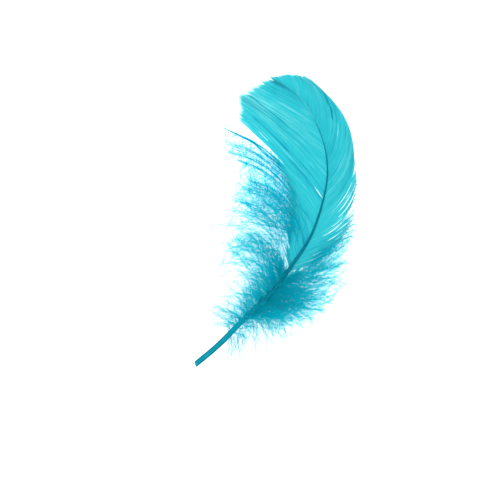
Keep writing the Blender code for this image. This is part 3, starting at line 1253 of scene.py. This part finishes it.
@dataclass
class Vane:
    """One side's vane: barbs that hold together, and the free strands where they let go.

    Attributes:
        name: the side's name in the pieces' names.
        law: how the side's barbs grow.
        held: station and the share of the barb that holds to its neighbours.
        fray: how uneven the margin is, in mm.
        pointed: how long the barbs' pointed ends are, in mm.
        marks: stretches where the dye looks deeper or paler.
        slits: narrow gaps between barbs.
        fluff: station and factor on the length of the free strands' barbules.
        seed: start of the random numbers.
        first: the vane's first station.
        last: its last station.
        count: how many barbs it has.
        rows: how finely each barb is drawn.
        jitter: how uneven the barbs' spacing is, in barb spacings.
        uneven_hold: how unevenly they let go, as a share of the barb.
        own_stray: how far single strands leave their group, as a share of stray_reach.
        strand_start: how far under the held part they begin, as a share of the barb.
        strand_rows: how finely each free strand is drawn.
        overlap: half a held barb's width, in barb spacings.
        margin_height: height of the margin in mm.
        foot_share: share of the barb where the vane has come down to the margin's height.
        strand_radius: radius of the free strands in mm.
        strand_depth: depth of the dye on them.
        strand_lift: how high groups of them rise, in mm.
        gather: how far held tips move to their group's middle, as a share of the way.
        cling: how far free strands move there, as the same share.
        waver: how far barbs sway to and fro, in barb spacings.
        bands: first and last station of barbs that stick together to their tips.
        barbules: the barbules on the free strands, the wide ones first.
        streak: how strongly the dye differs between single barbs.
        own_streak: how strongly it differs from barb to barb along their whole length.
        stray_reach: how far the free strands' tips stray sideways, in mm.
        surge_reach: how far the free strands may reach past the margin, in mm.
        droop: how far the free strands' tips bend towards the quill, in mm.
        opening: how far neighbours move apart before they let go, in barb spacings.
        undulation: height of the vane's gentle waves, in mm.
        root_shade: how much deeper the dye looks beside the shaft.
        tip_fade: how much paler it looks at the tips.
        clouds: strength of each layer of clouds in the dye, their width in barbs and their
            number along a barb.
        depths: station and depth of the dye on the vane.
        rng: the source of random numbers.
        step: spacing of the barbs, as a share of the shaft's length.
        station: each barb's station.
        length: each barb's length in mm.
        hold: share of each barb that holds to its neighbours.
        clump: index of the middle barb of each barb's group in the held part.
        strand: the same for its group in the free part.
        bold: 1 for barbs that stick together to their tips, otherwise 0.
        stray: how far each free strand's tip strays sideways, in mm.
        surge: how far each free strand reaches past the margin, in mm.
        lift: how high each free strand rises, in mm.
        reach: the share at which each held barb ends.
        point: the share that its pointed end takes.
        sway: each barb's sway to and fro.
        frizz: each free strand's short waves.
        own_tone: how much deeper or paler each barb is.
        fading: how that changes along the barb.
    """

    name: str
    law: BarbLaw
    held: Pairs
    fray: float
    pointed: float
    marks: tuple[BarbMark, ...]
    slits: tuple[Slit, ...]
    fluff: Pairs
    seed: int
    first: float
    last: float = 0.988
    count: int = 156
    rows: int = 60
    jitter: float = 0.12
    uneven_hold: float = 0.035
    own_stray: float = 0.36
    strand_start: float = 0.12
    strand_rows: int = 34
    overlap: float = 0.54
    margin_height: float = 0.10
    foot_share: float = 0.80
    strand_radius: float = 0.120
    strand_depth: float = 0.90
    strand_lift: float = 2.2
    gather: float = 0.16
    cling: float = 0.88
    waver: float = 0.30
    bands: Pairs = ()
    barbules: tuple[Fringe, ...] = (
        Fringe(13, 7.2, 0.10, 0.125, lean=66.0, roll=6.0, curl=0.05, paling=0.0, spread=6.0, shyness=0.9),
        Fringe(54, 1.7, 0.35, 0.040, lean=56.0, paling=0.36, shyness=0.9),
    )
    streak: float = 0.12
    own_streak: float = 0.060
    stray_reach: float = 2.2
    surge_reach: float = 0.0
    droop: float = 0.0
    opening: float = 0.25
    undulation: float = 0.12
    root_shade: float = 0.10
    tip_fade: float = 0.12
    clouds: tuple[tuple[float, float, float], ...] = ((0.09, 2.2, 2.6), (0.08, 10.0, 1.7))
    depths: Pairs = (
        (0.37, 0.58),
        (0.45, 0.56),
        (0.55, 0.56),
        (0.66, 0.47),
        (0.78, 0.37),
        (0.86, 0.48),
        (0.92, 0.60),
        (0.99, 0.45),
    )
    rng: np.random.Generator = field(init=False)
    step: float = field(init=False)
    station: np.ndarray = field(init=False)
    length: np.ndarray = field(init=False)
    hold: np.ndarray = field(init=False)
    clump: np.ndarray = field(init=False)
    strand: np.ndarray = field(init=False)
    bold: np.ndarray = field(init=False)
    stray: np.ndarray = field(init=False)
    surge: np.ndarray = field(init=False)
    lift: np.ndarray = field(init=False)
    reach: np.ndarray = field(init=False)
    point: np.ndarray = field(init=False)
    sway: Drift = field(init=False)
    frizz: Drift = field(init=False)
    own_tone: np.ndarray = field(init=False)
    fading: Drift = field(init=False)

    def __post_init__(self) -> None:
        """Draws what differs from barb to barb."""
        rng = np.random.default_rng(self.seed)
        self.rng = rng
        self.step = (self.last - self.first) / (self.count - 1)
        self.station = np.linspace(self.first, self.last, self.count)
        self.station += rng.uniform(-self.jitter, self.jitter, self.count) * self.step
        self.hold = read_pairs(self.held, self.station)
        loose = self.hold < LETS_GO
        uneven = rng.normal(0, self.uneven_hold, self.count) * loose
        self.hold = np.clip(self.hold + uneven, 0.05, 1.0)
        self.hold[~loose] = 1.0
        self.clump = self.draw_clumps(3, 8)
        self.strand = self.draw_clumps(2, 6)
        self.bold = np.zeros(self.count)
        for low, high in self.bands:
            inside = np.flatnonzero((self.station > low) & (self.station < high))
            self.strand[inside] = inside[len(inside) // 2]
            self.bold[inside] = 1.0
        stray = rng.uniform(-1, 1, self.count)
        own_stray = rng.uniform(-self.own_stray, self.own_stray, self.count)
        surge = rng.uniform(0, 1, self.count)
        self.stray = (stray[self.strand] + own_stray) * self.stray_reach * (1 - 0.9 * self.bold)
        self.surge = np.where(self.bold > 0, 1.0, surge[self.strand] ** 2) * self.surge_reach
        lift = rng.uniform(0, 1, self.count) ** 2
        self.lift = lift[self.strand] * self.strand_lift + rng.uniform(0, 0.5, self.count)
        ragged = rng.uniform(0, 1, self.count)
        self.length = self.law.read(self.station)[:, 2]
        worn = 0.3 * ragged[self.clump] + 0.7 * rng.uniform(0, 1, self.count)
        self.reach = 1 - self.fray / self.length * worn
        self.reach[-3:] = 1.0
        self.point = np.clip(self.pointed / self.length, 0.02, 0.25)
        self.sway = Drift.draw(rng, self.count, 5)
        self.frizz = Drift.draw(rng, self.count, 9)
        self.own_tone = rng.normal(0, self.own_streak, self.count)
        self.fading = Drift(rng.uniform(0.2, 1.6, (self.count, 7)))

    def draw_clumps(self, fewest: int, most: int) -> np.ndarray:
        """Groups neighbouring barbs, never across a split.

        Args:
            fewest: smallest number of barbs in a group.
            most: largest number.

        Returns:
            For each barb, the index of the middle barb of its group.
        """
        edges = [s.station for s in self.law.splits] + [s.station for s in self.slits]
        lobe = np.searchsorted(sorted(edges), self.station)
        middle = np.zeros(self.count, int)
        start = 0
        while start < self.count:
            end = min(start + int(self.rng.integers(fewest, most + 1)), self.count)
            while lobe[end - 1] != lobe[start]:
                end -= 1
            middle[start:end] = (start + end) // 2 if end - start > 1 else start
            middle[start:end] = np.minimum(middle[start:end], end - 1)
            start = end
        return middle

    def trace(self, share: np.ndarray) -> np.ndarray:
        """The stations that the barbs follow at shares of their length.

        Args:
            share: shares of the barb's full length, one row a barb.

        Returns:
            Stations of the same shape.
        """
        moved = self.opened(share)
        free = self.freed(share)
        gather = self.gather * near_tip(share) * (1 - free)
        moved += (self.station[self.clump] - self.station)[:, None] * gather
        moved += (self.station[self.strand] - self.station)[:, None] * self.cling * eased(free / 0.55)
        return moved + self.sway.at(share) * self.step * self.waver * eased(share / 0.3)

    def opened(self, share: np.ndarray) -> np.ndarray:
        """The barbs' stations, moved aside by the splits and slits only.

        Args:
            share: shares of the barb's full length, one row a barb.

        Returns:
            Stations of the same shape.
        """
        own = self.station[:, None]
        moved = np.broadcast_to(own, share.shape).copy()
        for lobe in self.law.lobes(self.first - self.step, self.last + self.step):
            inside = (self.station >= lobe[0]) & (self.station < lobe[1])
            moved[inside] = self.law.parted(moved[inside], share[inside], lobe)
        for slit in self.slits:
            moved += slit.push(own, share, self.law.shaft.length)
        return moved

    def edges(self, centre: np.ndarray, share: np.ndarray) -> tuple[np.ndarray, np.ndarray]:
        """Where each barb meets its neighbours, or stops at a gap.

        Args:
            centre: the stations that the barbs follow, one row a barb.
            share: shares of the barb's full length, of the same shape.

        Returns:
            Stations of each barb's lower and upper edge.
        """
        half = self.overlap * self.step
        extra = (self.overlap - 0.5) * self.step
        halfway = (centre[1:] + centre[:-1]) / 2
        widened = np.diff(self.opened(share), axis=0) - np.diff(self.station)[:, None]
        apart = widened > self.opening * self.step
        high = np.where(apart, centre[:-1] + half, halfway + extra)
        low = np.where(apart, centre[1:] - half, halfway - extra)
        return np.vstack([centre[:1] - half, low]), np.vstack([high, centre[-1:] + half])

    def freed(self, share: np.ndarray) -> np.ndarray:
        """How far each barb is into its free part, from 0 to 1."""
        hold = self.hold[:, None]
        return np.clip((share - hold) / np.maximum(1 - hold, 0.05), 0, 1) * (hold < 1)

    def height(self, share: np.ndarray) -> np.ndarray:
        """The vane's height in mm at shares of the barbs' length.

        Args:
            share: shares of the barb's full length, one row a barb.

        Returns:
            Heights of the same shape.
        """
        row = self.law.shaft.at(self.station)
        root = (row[:, 2] + 0.2 * row[:, 3])[:, None]
        fall = eased(share / self.foot_share)
        free = self.freed(share)
        loft = self.lift[:, None] * np.sin(math.pi * np.clip(free, 0, 1) ** 0.8)
        return root * (1 - fall) + self.margin_height * fall + loft

    def ribs(self) -> bpy.types.Object:
        """Builds the barbs that hold together.

        Returns:
            The new piece.
        """
        rng = self.rng
        along = np.linspace(0, 1, self.rows)[None, :]
        whole = self.hold >= 1
        limit = np.where(whole, self.reach, np.minimum(self.hold + 0.05, 1.0))
        share = along * limit[:, None]
        centre = self.trace(share)
        low_edge, high_edge = self.edges(centre, share)
        middle = self.law.place(centre, share)
        taper_start = np.where(whole, 1 - self.point, 0.76)[:, None]
        closing = np.clip((along - taper_start) / (1 - taper_start), 0, 1)
        width = np.maximum(1 - closing**1.5, 0.10)
        leaf = self.law.place(high_edge, share) - middle
        back = self.law.place(low_edge, share) - middle
        index = np.arange(self.count)[:, None] + 0 * share
        swell = cloudy(rng, index / 7.0, share * 2.4 + 0 * index)
        height = self.height(share) + self.undulation * (swell + 1) * eased(share / 0.25)
        across, rises, added = np.array(RIB_SECTION).T
        grid = np.empty((self.count, self.rows, len(across), 3))
        for k, (part, rise) in enumerate(zip(across, rises)):
            offset = back if part < 0 else leaf
            grid[:, :, k, :2] = middle + offset * (abs(part) * width)[..., None]
            grid[:, :, k, 2] = height + rise * width
        tone = self.dye_depth(share, index)[..., None] + added
        mesh = StrandMesh()
        mesh.sheets(grid, tone, across, (share * self.length[:, None])[..., None])
        return mesh.make(f"{self.name}_vane", VANE_FINISH.build())

    def dye_depth(self, share: np.ndarray, index: np.ndarray) -> np.ndarray:
        """The dye's depth over the vane.

        Args:
            share: shares of the barb's full length, one row a barb.
            index: each barb's number, of the same shape.

        Returns:
            Tones from 0, pale, to 1, deep.
        """
        length = self.length[:, None]
        tone = read_pairs(self.depths, self.station)[:, None]
        tone = tone + self.root_shade * np.exp(-share * length / 2.0)
        for strength, barbs, turns in self.clouds:
            tone = tone + strength * cloudy(self.rng, index / barbs, share * turns)
        tone += self.streak * cloudy(self.rng, index / 1.3, share * 1.9) * eased(share / 0.4)
        tone += self.own_tone[:, None] * self.fading.at(share) - self.tip_fade * near_tip(share)
        tone += 0.10 * cloudy(self.rng, index / 0.9, share * length / 2.6)
        for mark in self.marks:
            tone += mark.at(self.station[:, None], share)
        return tone

    def strands(self) -> bpy.types.Object:
        """Builds the free strands beyond the part that holds together.

        Returns:
            The new piece.
        """
        loose = np.flatnonzero(self.hold < LETS_GO)
        start = np.maximum(self.hold - self.strand_start, 0.02)[:, None]
        end = (1 - 0.10 * self.rng.uniform(0, 1, self.count))[:, None]
        share = start + (end - start) * np.linspace(0, 1, self.strand_rows)[None, :]
        free = self.freed(share)
        plan = self.law.place(self.trace(share), share)
        ahead = unit(np.gradient(plan, axis=1))
        beside = np.stack([-ahead[..., 1], ahead[..., 0]], axis=-1)
        aside = self.stray[:, None] * free**1.5 + 0.40 * self.frizz.at(share) * eased(free / 0.3)
        aside = aside + self.law.side.value * self.droop * free**2
        plan = plan + beside * aside[..., None] + ahead * (self.surge[:, None] * free**2)[..., None]
        height = self.height(share) + 0.25 * (1 + self.frizz.at(1 - share)) * free
        line = np.concatenate([plan, height[..., None]], axis=-1)[loose]
        radius = self.strand_radius * (1 - 0.42 * free[loose]) * (1 + 0.9 * self.bold[loose, None])
        radius[:, -1] = 0.008
        tone = self.strand_depth - 0.30 * free[loose] + 2.4 * self.own_tone[loose, None]
        tone = tone + 0.35 * self.bold[loose, None]
        mesh = StrandMesh()
        mesh.rods(line, radius, 3, tone)
        scale = read_pairs(self.fluff, self.station[loose])
        for barbules in self.barbules:
            barbules.grow(mesh, line, scale, tone, self.rng)
        return mesh.make(f"{self.name}_strands", DOWN_DYE_AND_PAINTED_FILL.build())


@dataclass(frozen=True)
class Tuft:
    """One stretch of downy barbs.

    Attributes:
        first: its first station.
        last: its last station.
        count: how many barbs.
        stretch: factor on their length.
        angle: degrees added to their angle off the shaft.
        stray: how far the angle and the turn differ from barb to barb, in degrees.
        curl: factor on how far they bend.
        fluff: factor on the length of their barbules.
        start: share of the barb where it comes out from under the vane.
    """

    first: float
    last: float
    count: int
    stretch: float
    angle: float = 0.0
    stray: float = 9.0
    curl: float = 1.0
    fluff: float = 1.0
    start: float = 0.0


@dataclass
class Down:
    """The fluffy barbs at the base of one side.

    Attributes:
        name: the piece's name.
        law: how the side's barbs grow.
        tufts: where they grow.
        loft: how high they stand, in mm.
        fringes: their barbules, the wide ones first.
        seed: start of the random numbers.
        bend: how far they bend in long turns, in degrees.
        kink: how far they bend in short turns, in degrees.
        rows: how finely each barb is drawn.
        radius: its radius at its root, in mm.
        uneven: smallest and largest factor on its length.
        tips: heights in mm, one of which is drawn for each tip.
    """

    name: str
    law: BarbLaw
    tufts: tuple[Tuft, ...]
    loft: float
    fringes: tuple[Fringe, ...]
    seed: int
    bend: float = 44.0
    kink: float = 26.0
    rows: int = 36
    radius: float = 0.115
    uneven: tuple[float, float] = (0.70, 1.08)
    tips: tuple[float, ...] = (0.15, 0.4, 1.0, 2.2)

    def build(self) -> bpy.types.Object:
        """Builds the piece.

        Returns:
            The new piece.
        """
        rng = np.random.default_rng(self.seed)
        station = np.concatenate([np.linspace(t.first, t.last, t.count) for t in self.tufts])
        owner = np.repeat(np.arange(len(self.tufts)), [t.count for t in self.tufts])
        fields = ("stretch", "angle", "stray", "curl", "fluff", "start")
        table = np.array([[getattr(t, label) for label in fields] for t in self.tufts])
        stretch, angle, stray, curl, fluff, start = table[owner].T
        count = len(station)
        station = station + rng.normal(0, 0.002, count)
        stretch = stretch * rng.uniform(*self.uneven, count)
        steps = self.rows - 1
        shares = np.broadcast_to((np.arange(steps) + 0.5) / steps, (count, steps))
        slow, quick = Drift.draw(rng, count, 5), Drift.draw(rng, count, 13)
        wave = (self.bend * slow.at(shares) + self.kink * quick.at(shares)) * eased(shares / 0.2)
        wave = wave * curl[:, None]
        plan = self.law.grow(
            station,
            steps,
            angle + rng.normal(0, 1, count) * stray,
            rng.normal(0, 2.4, count) * stray,
            stretch,
            wave,
        )
        share = np.linspace(0, 1, self.rows)[None, :] + np.zeros((count, 1))
        share = start[:, None] + (1 - start[:, None]) * share
        cell, into = cells(share, steps)
        plan = blended(plan, cell, into[..., None])
        root = self.law.shaft.at(station)[:, 2][:, None]
        tip = rng.choice(self.tips, count)[:, None]
        loft = self.loft * rng.uniform(0, 1, count)[:, None] ** 1.4
        height = root + (tip - root) * eased(share) + loft * np.sin(math.pi * share) * eased(share / 0.3)
        height = height + 0.5 * Drift.draw(rng, count, 8).at(share) * share
        line = np.concatenate([plan, height[..., None]], axis=-1)
        radius = self.radius * (1 - 0.75 * share)
        radius[:, -1] = 0.006
        # The roots get tone 1, which picks the down finish's brightest colour: painted light against the
        # shade among the crowded roots.
        tone = 1.0 - 0.14 * eased(share / 0.22) - 0.20 * eased(share / 0.8)
        tone = tone + rng.normal(0, 0.13, count)[:, None]
        mesh = StrandMesh()
        mesh.rods(line, radius, 3, tone)
        for fringe in self.fringes:
            fringe.grow(mesh, line, fluff, tone, rng)
        return mesh.make(self.name, DOWN_DYE_AND_PAINTED_FILL.build())


@dataclass
class Wisps:
    """Fine single hairs that hang from the lowest down.

    Attributes:
        name: the piece's name.
        law: how the barbs of their side grow.
        first: their first station.
        last: their last station.
        count: how many there are.
        aim: direction in plan at the first and at the last station, in degrees.
        out: the smallest and the largest share of the barb that they start from.
        length: shortest and longest, in mm.
        seed: start of the random numbers.
        rows: how finely each is drawn.
        stray: how far the direction differs between them, in degrees.
        bend: how far they bend to one side, in degrees.
        sway: how far they sway to and fro, in degrees.
        radius: their radius at the root, in mm.
        depth: depth of the dye at the root.
    """

    name: str
    law: BarbLaw
    first: float
    last: float
    count: int
    aim: tuple[float, float]
    out: tuple[float, float]
    length: tuple[float, float]
    seed: int
    rows: int = 14
    stray: float = 9.0
    bend: float = 26.0
    sway: float = 22.0
    radius: float = 0.052
    depth: float = 0.52

    def build(self) -> bpy.types.Object:
        """Builds the piece.

        Returns:
            The new piece.
        """
        rng = np.random.default_rng(self.seed)
        station = rng.uniform(self.first, self.last, self.count)
        share = rng.uniform(*self.out, self.count)
        root = self.law.place(station, share)
        place = (station - self.first) / (self.last - self.first)
        aim = self.aim[0] + (self.aim[1] - self.aim[0]) * place + rng.normal(0, self.stray, self.count)
        length = rng.uniform(*self.length, self.count)
        steps = self.rows - 1
        shares = np.broadcast_to((np.arange(steps) + 0.5) / steps, (self.count, steps))
        bend = rng.normal(0, self.bend, self.count)[:, None] * shares
        sway = self.sway * Drift.draw(rng, self.count, 4).at(shares)
        heading = np.radians(aim[:, None] + bend + sway)
        move = np.stack([np.cos(heading), np.sin(heading)], axis=-1) * (length / steps)[:, None, None]
        plan = np.concatenate([root[:, None], root[:, None] + np.cumsum(move, axis=1)], axis=1)
        along = np.linspace(0, 1, self.rows)[None, :]
        start = self.law.shaft.at(station)[:, 2][:, None] * (1 - share[:, None]) * 0.9
        height = start * (1 - eased(along)) + 0.12 + 0.5 * rng.uniform(0, 1, (self.count, 1)) * along
        line = np.concatenate([plan, height[..., None]], axis=-1)
        radius = self.radius * (1 - 0.6 * along) * np.ones((self.count, 1))
        tone = self.depth - 0.25 * along + rng.normal(0, 0.12, (self.count, 1))
        mesh = StrandMesh()
        mesh.rods(line, radius, 3, tone)
        fringe = Fringe(count=12, length=0.8, thinning=0.3, width=0.03)
        fringe.grow(mesh, line, np.ones(self.count), tone, rng)
        return mesh.make(self.name, DOWN_DYE_AND_PAINTED_FILL.build())


@dataclass
class Studio:
    """The pale floor, lit a little from within, the soft light and the camera above.

    Attributes:
        middle: the place that the camera looks at, in mm.
        view_width: width of what the camera sees, in mm.
        lens: focal length in mm.
        sensor: sensor width in mm.
        floor_size: side of the floor in metres.
        floor_shade: its grey, from 0 to 1.
        floor_glow: strength of its own light.
        sky: strength of the even light from all round.
        lamp_power: the lamp's power in watts.
        lamp_size: its side in metres.
        lamp_place: its place in metres.
        lamp_turn: its turn about the three axes, in degrees.
    """

    middle: tuple[float, float] = (-8.636, -10.03)
    view_width: float = 170.0
    lens: float = 85.0
    sensor: float = 36.0
    floor_size: float = 3.0
    floor_shade: float = 0.80
    floor_glow: float = 0.75
    sky: float = 0.92
    lamp_power: float = 5.6
    lamp_size: float = 1.4
    lamp_place: tuple[float, float, float] = (-0.35, 0.25, 1.1)
    lamp_turn: tuple[float, float, float] = (-13.0, -18.0, 0.0)

    def floor(self) -> bpy.types.Object:
        """Builds the floor.

        Returns:
            The new floor.
        """
        half = self.floor_size / 2
        corners = [(-half, -half, 0), (half, -half, 0), (half, half, 0), (-half, half, 0)]
        mesh = bpy.data.meshes.new("floor")
        mesh.from_pydata(corners, [], [(0, 1, 2, 3)])
        material = bpy.data.materials.new("pale_floor")
        material.use_nodes = True
        sheet = NodeSheet(material.node_tree)
        values = {
            "Base Color": (*[self.floor_shade] * 3, 1.0),
            "Roughness": 0.9,
            "Specular IOR Level": 0.0,
            "Emission Color": WHITE,
            "Emission Strength": self.floor_glow,
        }
        face = sheet.add("ShaderNodeBsdfPrincipled", values)
        sheet.join(face.outputs["BSDF"], sheet.add("ShaderNodeOutputMaterial").inputs["Surface"])
        mesh.materials.append(material)
        return placed("floor", mesh)

    def light(self) -> None:
        """Adds the even sky and one large soft lamp overhead."""
        world = bpy.data.worlds.new("studio")
        bpy.context.scene.world = world
        world.use_nodes = True
        sheet = NodeSheet(world.node_tree)
        sky = sheet.add("ShaderNodeBackground", {"Color": WHITE, "Strength": self.sky})
        sheet.join(sky.outputs["Background"], sheet.add("ShaderNodeOutputWorld").inputs["Surface"])
        lamp = bpy.data.lights.new("overhead", "AREA")
        lamp.energy = self.lamp_power
        lamp.size = self.lamp_size
        holder = placed("overhead", lamp)
        holder.location = self.lamp_place
        holder.rotation_euler = [math.radians(turn) for turn in self.lamp_turn]

    def camera(self) -> None:
        """Adds the camera straight above, with the top of its image towards +Y."""
        lens = bpy.data.cameras.new("overhead_camera")
        lens.lens = self.lens
        lens.sensor_width = self.sensor
        lens.clip_start = 0.01
        holder = placed("overhead_camera", lens)
        distance = self.view_width * self.lens / self.sensor
        holder.location = (self.middle[0] * MM, self.middle[1] * MM, distance * MM)
        bpy.context.scene.camera = holder


# Station, angle off the shaft and further turn in degrees, and length in mm of each side's barbs.
LEFT_ROWS = (
    (0.10, 62, 40, 4.4),
    (0.16, 60, 50, 7.4),
    (0.22, 58, 60, 10.6),
    (0.28, 55, 72, 15.6),
    (0.34, 50, 76, 22.0),
    (0.40, 46, 62, 30.0),
    (0.46, 45, 58, 35.4),
    (0.52, 47, 52, 38.6),
    (0.56, 49, 40, 40.4),
    (0.60, 48, 26, 41.6),
    (0.66, 43, 20, 42.0),
    (0.72, 39, 16, 37.4),
    (0.80, 33, 8, 27.4),
    (0.86, 28, 4, 19.6),
    (0.89, 21, 2, 15.2),
    (0.92, 13, 0, 10.3),
    (0.96, 7, 0, 4.8),
    (0.99, 0, 0, 1.8),
)
RIGHT_ROWS = (
    (0.10, 60, -25, 4.1),
    (0.16, 62, -10, 8.8),
    (0.22, 56, 10, 14.6),
    (0.28, 50, 25, 19.4),
    (0.34, 45, 32, 21.8),
    (0.40, 39, 38, 22.8),
    (0.46, 37, 42, 23.4),
    (0.52, 34, 46, 24.6),
    (0.60, 32, 54, 25.0),
    (0.68, 31.5, 62, 24.9),
    (0.76, 31, 65, 23.4),
    (0.80, 32, 62, 20.2),
    (0.83, 33, 59, 16.4),
    (0.88, 34, 46, 11.2),
    (0.93, 34, 36, 6.8),
    (0.97, 26, 22, 3.5),
    (0.99, 8, 4, 1.8),
)
LEFT_SPLITS = (
    Split(0.470, 0.30, 0.040),
    Split(0.566, 0.36, 0.018, 0.016),
    Split(0.680, 0.88, 0.005),
    Split(0.760, 0.86, 0.005),
    Split(0.860, 0.80, 0.004),
)
RIGHT_SPLITS = (
    Split(0.470, 0.60, 0.018),
    Split(0.530, 0.70, 0.010),
)
# Station and the share of the barb that holds to its neighbours.
LEFT_HELD = (
    (0.387, 0.12),
    (0.403, 0.25),
    (0.412, 0.33),
    (0.427, 0.38),
    (0.445, 0.41),
    (0.476, 0.42),
    (0.500, 0.43),
    (0.530, 0.48),
    (0.545, 0.56),
    (0.5655, 0.66),
    (0.5665, 1.00),
)
RIGHT_HELD = (
    (0.370, 0.38),
    (0.380, 0.55),
    (0.395, 0.72),
    (0.420, 0.82),
    (0.460, 0.87),
    (0.490, 0.92),
    (0.530, 1.05),
)
# Station and depth of the dye on the right vane.
RIGHT_DEPTHS = (
    (0.37, 0.46),
    (0.50, 0.47),
    (0.60, 0.52),
    (0.70, 0.52),
    (0.80, 0.45),
    (0.92, 0.48),
    (0.99, 0.42),
)
LEFT_MARKS = (
    BarbMark(0.704, 0.0030, 0.42, 0.80, 0.80, 0.083),
    BarbMark(0.727, 0.0030, 0.70, 1.04, 0.80, 0.140),
    BarbMark(0.701, 0.0026, 0.60, 1.02, 0.55, 0.044),
    BarbMark(0.618, 0.0030, 0.30, 0.90, 0.30),
    BarbMark(0.606, 0.0030, 0.35, 0.95, 0.26),
    BarbMark(0.590, 0.0040, -0.10, 0.55, 0.30),
    BarbMark(0.640, 0.0200, 0.30, 0.90, -0.10),
    BarbMark(0.860, 0.0400, 0.10, 0.85, 0.10),
    BarbMark(0.700, 0.0500, 0.55, 1.15, -0.16),
)
RIGHT_MARKS = (
    BarbMark(0.728, 0.0034, 0.46, 0.70, 0.60),
    BarbMark(0.698, 0.0050, 0.38, 0.62, -0.30),
    BarbMark(0.715, 0.0040, 0.40, 0.66, -0.26),
    BarbMark(0.737, 0.0034, 0.60, 1.00, 0.65),
    BarbMark(0.560, 0.0300, 0.30, 0.90, 0.06),
)
LEFT_SLITS = (
    Slit(0.594, 0.00, 0.13, 0.55),
    Slit(0.578, 0.62, 0.90, 0.30),
)
RIGHT_SLITS = (
    Slit(0.5195, 0.33, 0.88, 0.62),
    Slit(0.5095, 0.45, 0.96, 0.34),
    Slit(0.5000, 0.33, 0.98, 0.60),
    Slit(0.4930, 0.52, 1.02, 0.36),
    Slit(0.4850, 0.42, 1.05, 0.60),
    Slit(0.4740, 0.30, 0.80, 0.36),
    Slit(0.4630, 0.21, 0.70, 0.60),
    Slit(0.4490, 0.45, 0.86, 0.40),
    Slit(0.4360, 0.36, 0.76, 0.52),
    Slit(0.4210, 0.50, 0.84, 0.42),
    Slit(0.4050, 0.21, 0.70, 0.60),
    Slit(0.3900, 0.34, 0.78, 0.46),
)


def report(piece: bpy.types.Object) -> None:
    """Ties a piece to the solid's body, hides the imported solid, and logs it.

    Args:
        piece: the new piece.
    """
    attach(piece, BODY)
    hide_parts(NODE)
    log.info("%s: %d points, %d faces", piece.name, len(piece.data.vertices), len(piece.data.polygons))


def main() -> None:
    """Builds the feather from the quill outwards, then the studio."""
    logging.basicConfig(level=logging.INFO, format="%(name)s: %(message)s")
    bpy.context.scene.view_settings.view_transform = "Standard"
    shaft = ShaftLine()
    left = BarbLaw(Side.LEFT, shaft, LEFT_ROWS, 1.3, LEFT_SPLITS)
    right = BarbLaw(Side.RIGHT, shaft, RIGHT_ROWS, 1.5, RIGHT_SPLITS)

    report(Quill(shaft).build())
    left_vane = Vane(
        name="left",
        law=left,
        held=LEFT_HELD,
        fray=1.7,
        pointed=2.4,
        streak=0.12,
        marks=LEFT_MARKS,
        slits=LEFT_SLITS,
        fluff=((0.38, 1.1), (0.50, 1.0), (0.553, 0.8), (0.566, 0.25)),
        surge_reach=5.0,
        seed=11,
        first=0.380,
        bands=((0.5505, 0.5645),),
    )
    right_vane = Vane(
        name="right",
        law=right,
        held=RIGHT_HELD,
        fray=0.7,
        pointed=1.0,
        streak=0.07,
        marks=RIGHT_MARKS,
        slits=RIGHT_SLITS,
        fluff=((0.36, 0.55), (0.41, 0.45), (0.44, 0.12), (0.53, 0.06)),
        droop=1.8,
        depths=RIGHT_DEPTHS,
        seed=12,
        first=0.372,
        stray_reach=0.6,
        strand_radius=0.080,
        strand_depth=0.50,
    )
    for vane in (left_vane, right_vane):
        report(vane.ribs())
        report(vane.strands())
    fringes = (
        Fringe(9, 5.2, 0.30, 0.115, lean=34.0, roll=20.0, curl=0.18, paling=0.06, joints=5, shyness=0.85),
        Fringe(70, 1.4, 0.35, 0.042, lean=50.0, paling=0.38, shyness=0.70),
    )
    left_down = Down(
        name="left_down",
        law=left,
        tufts=(
            Tuft(0.130, 0.170, 8, 0.55, curl=0.7, fluff=0.7),
            Tuft(0.165, 0.260, 26, 0.58, stray=11.0),
            Tuft(0.170, 0.360, 90, 0.30, angle=-26.0, stray=5.0, curl=0.4, fluff=0.5),
            Tuft(0.255, 0.298, 32, 0.62, stray=12.0),
            Tuft(0.298, 0.350, 58, 1.32, stray=13.0),
            Tuft(0.338, 0.358, 22, 0.95, angle=-6.0, stray=2.4, curl=0.3, fluff=0.35),
            Tuft(0.150, 0.250, 14, 1.60, stray=14.0, fluff=0.5),
        ),
        loft=2.7,
        fringes=fringes,
        seed=21,
    )
    left_upper_down = Down(
        name="left_upper_down",
        law=left,
        tufts=(
            Tuft(0.392, 0.450, 48, 1.08, stray=12.0, start=0.26),
            Tuft(0.400, 0.470, 20, 1.10, angle=14.0, stray=18.0, start=0.42),
        ),
        loft=3.4,
        fringes=fringes,
        seed=23,
    )
    right_down = Down(
        name="right_down",
        law=right,
        tufts=(
            Tuft(0.140, 0.200, 14, 0.70, curl=0.8, fluff=0.7),
            Tuft(0.195, 0.250, 60, 1.08, angle=-10.0, stray=11.0),
            Tuft(0.170, 0.335, 80, 0.36, angle=-24.0, stray=5.0, curl=0.4, fluff=0.6),
            Tuft(0.245, 0.338, 146, 1.24, stray=12.0),
            Tuft(0.340, 0.398, 34, 1.04, angle=2.0, stray=5.0, curl=0.5, fluff=0.8, start=0.48),
        ),
        loft=2.6,
        fringes=fringes,
        seed=22,
    )
    for down in (left_down, left_upper_down, right_down):
        report(down.build())
    right_wisps = Wisps(
        name="right_wisps",
        law=right,
        first=0.118,
        last=0.300,
        count=190,
        aim=(-100.0, -52.0),
        out=(0.05, 0.60),
        length=(7.0, 14.0),
        seed=31,
    )
    left_wisps = Wisps(
        name="left_wisps",
        law=left,
        first=0.135,
        last=0.270,
        count=120,
        aim=(175.0, 105.0),
        out=(0.05, 0.60),
        length=(6.0, 11.5),
        seed=32,
    )
    for wisps in (right_wisps, left_wisps):
        report(wisps.build())

    studio = Studio()
    studio.floor()
    studio.light()
    studio.camera()


if __name__ == "__main__":
    main()
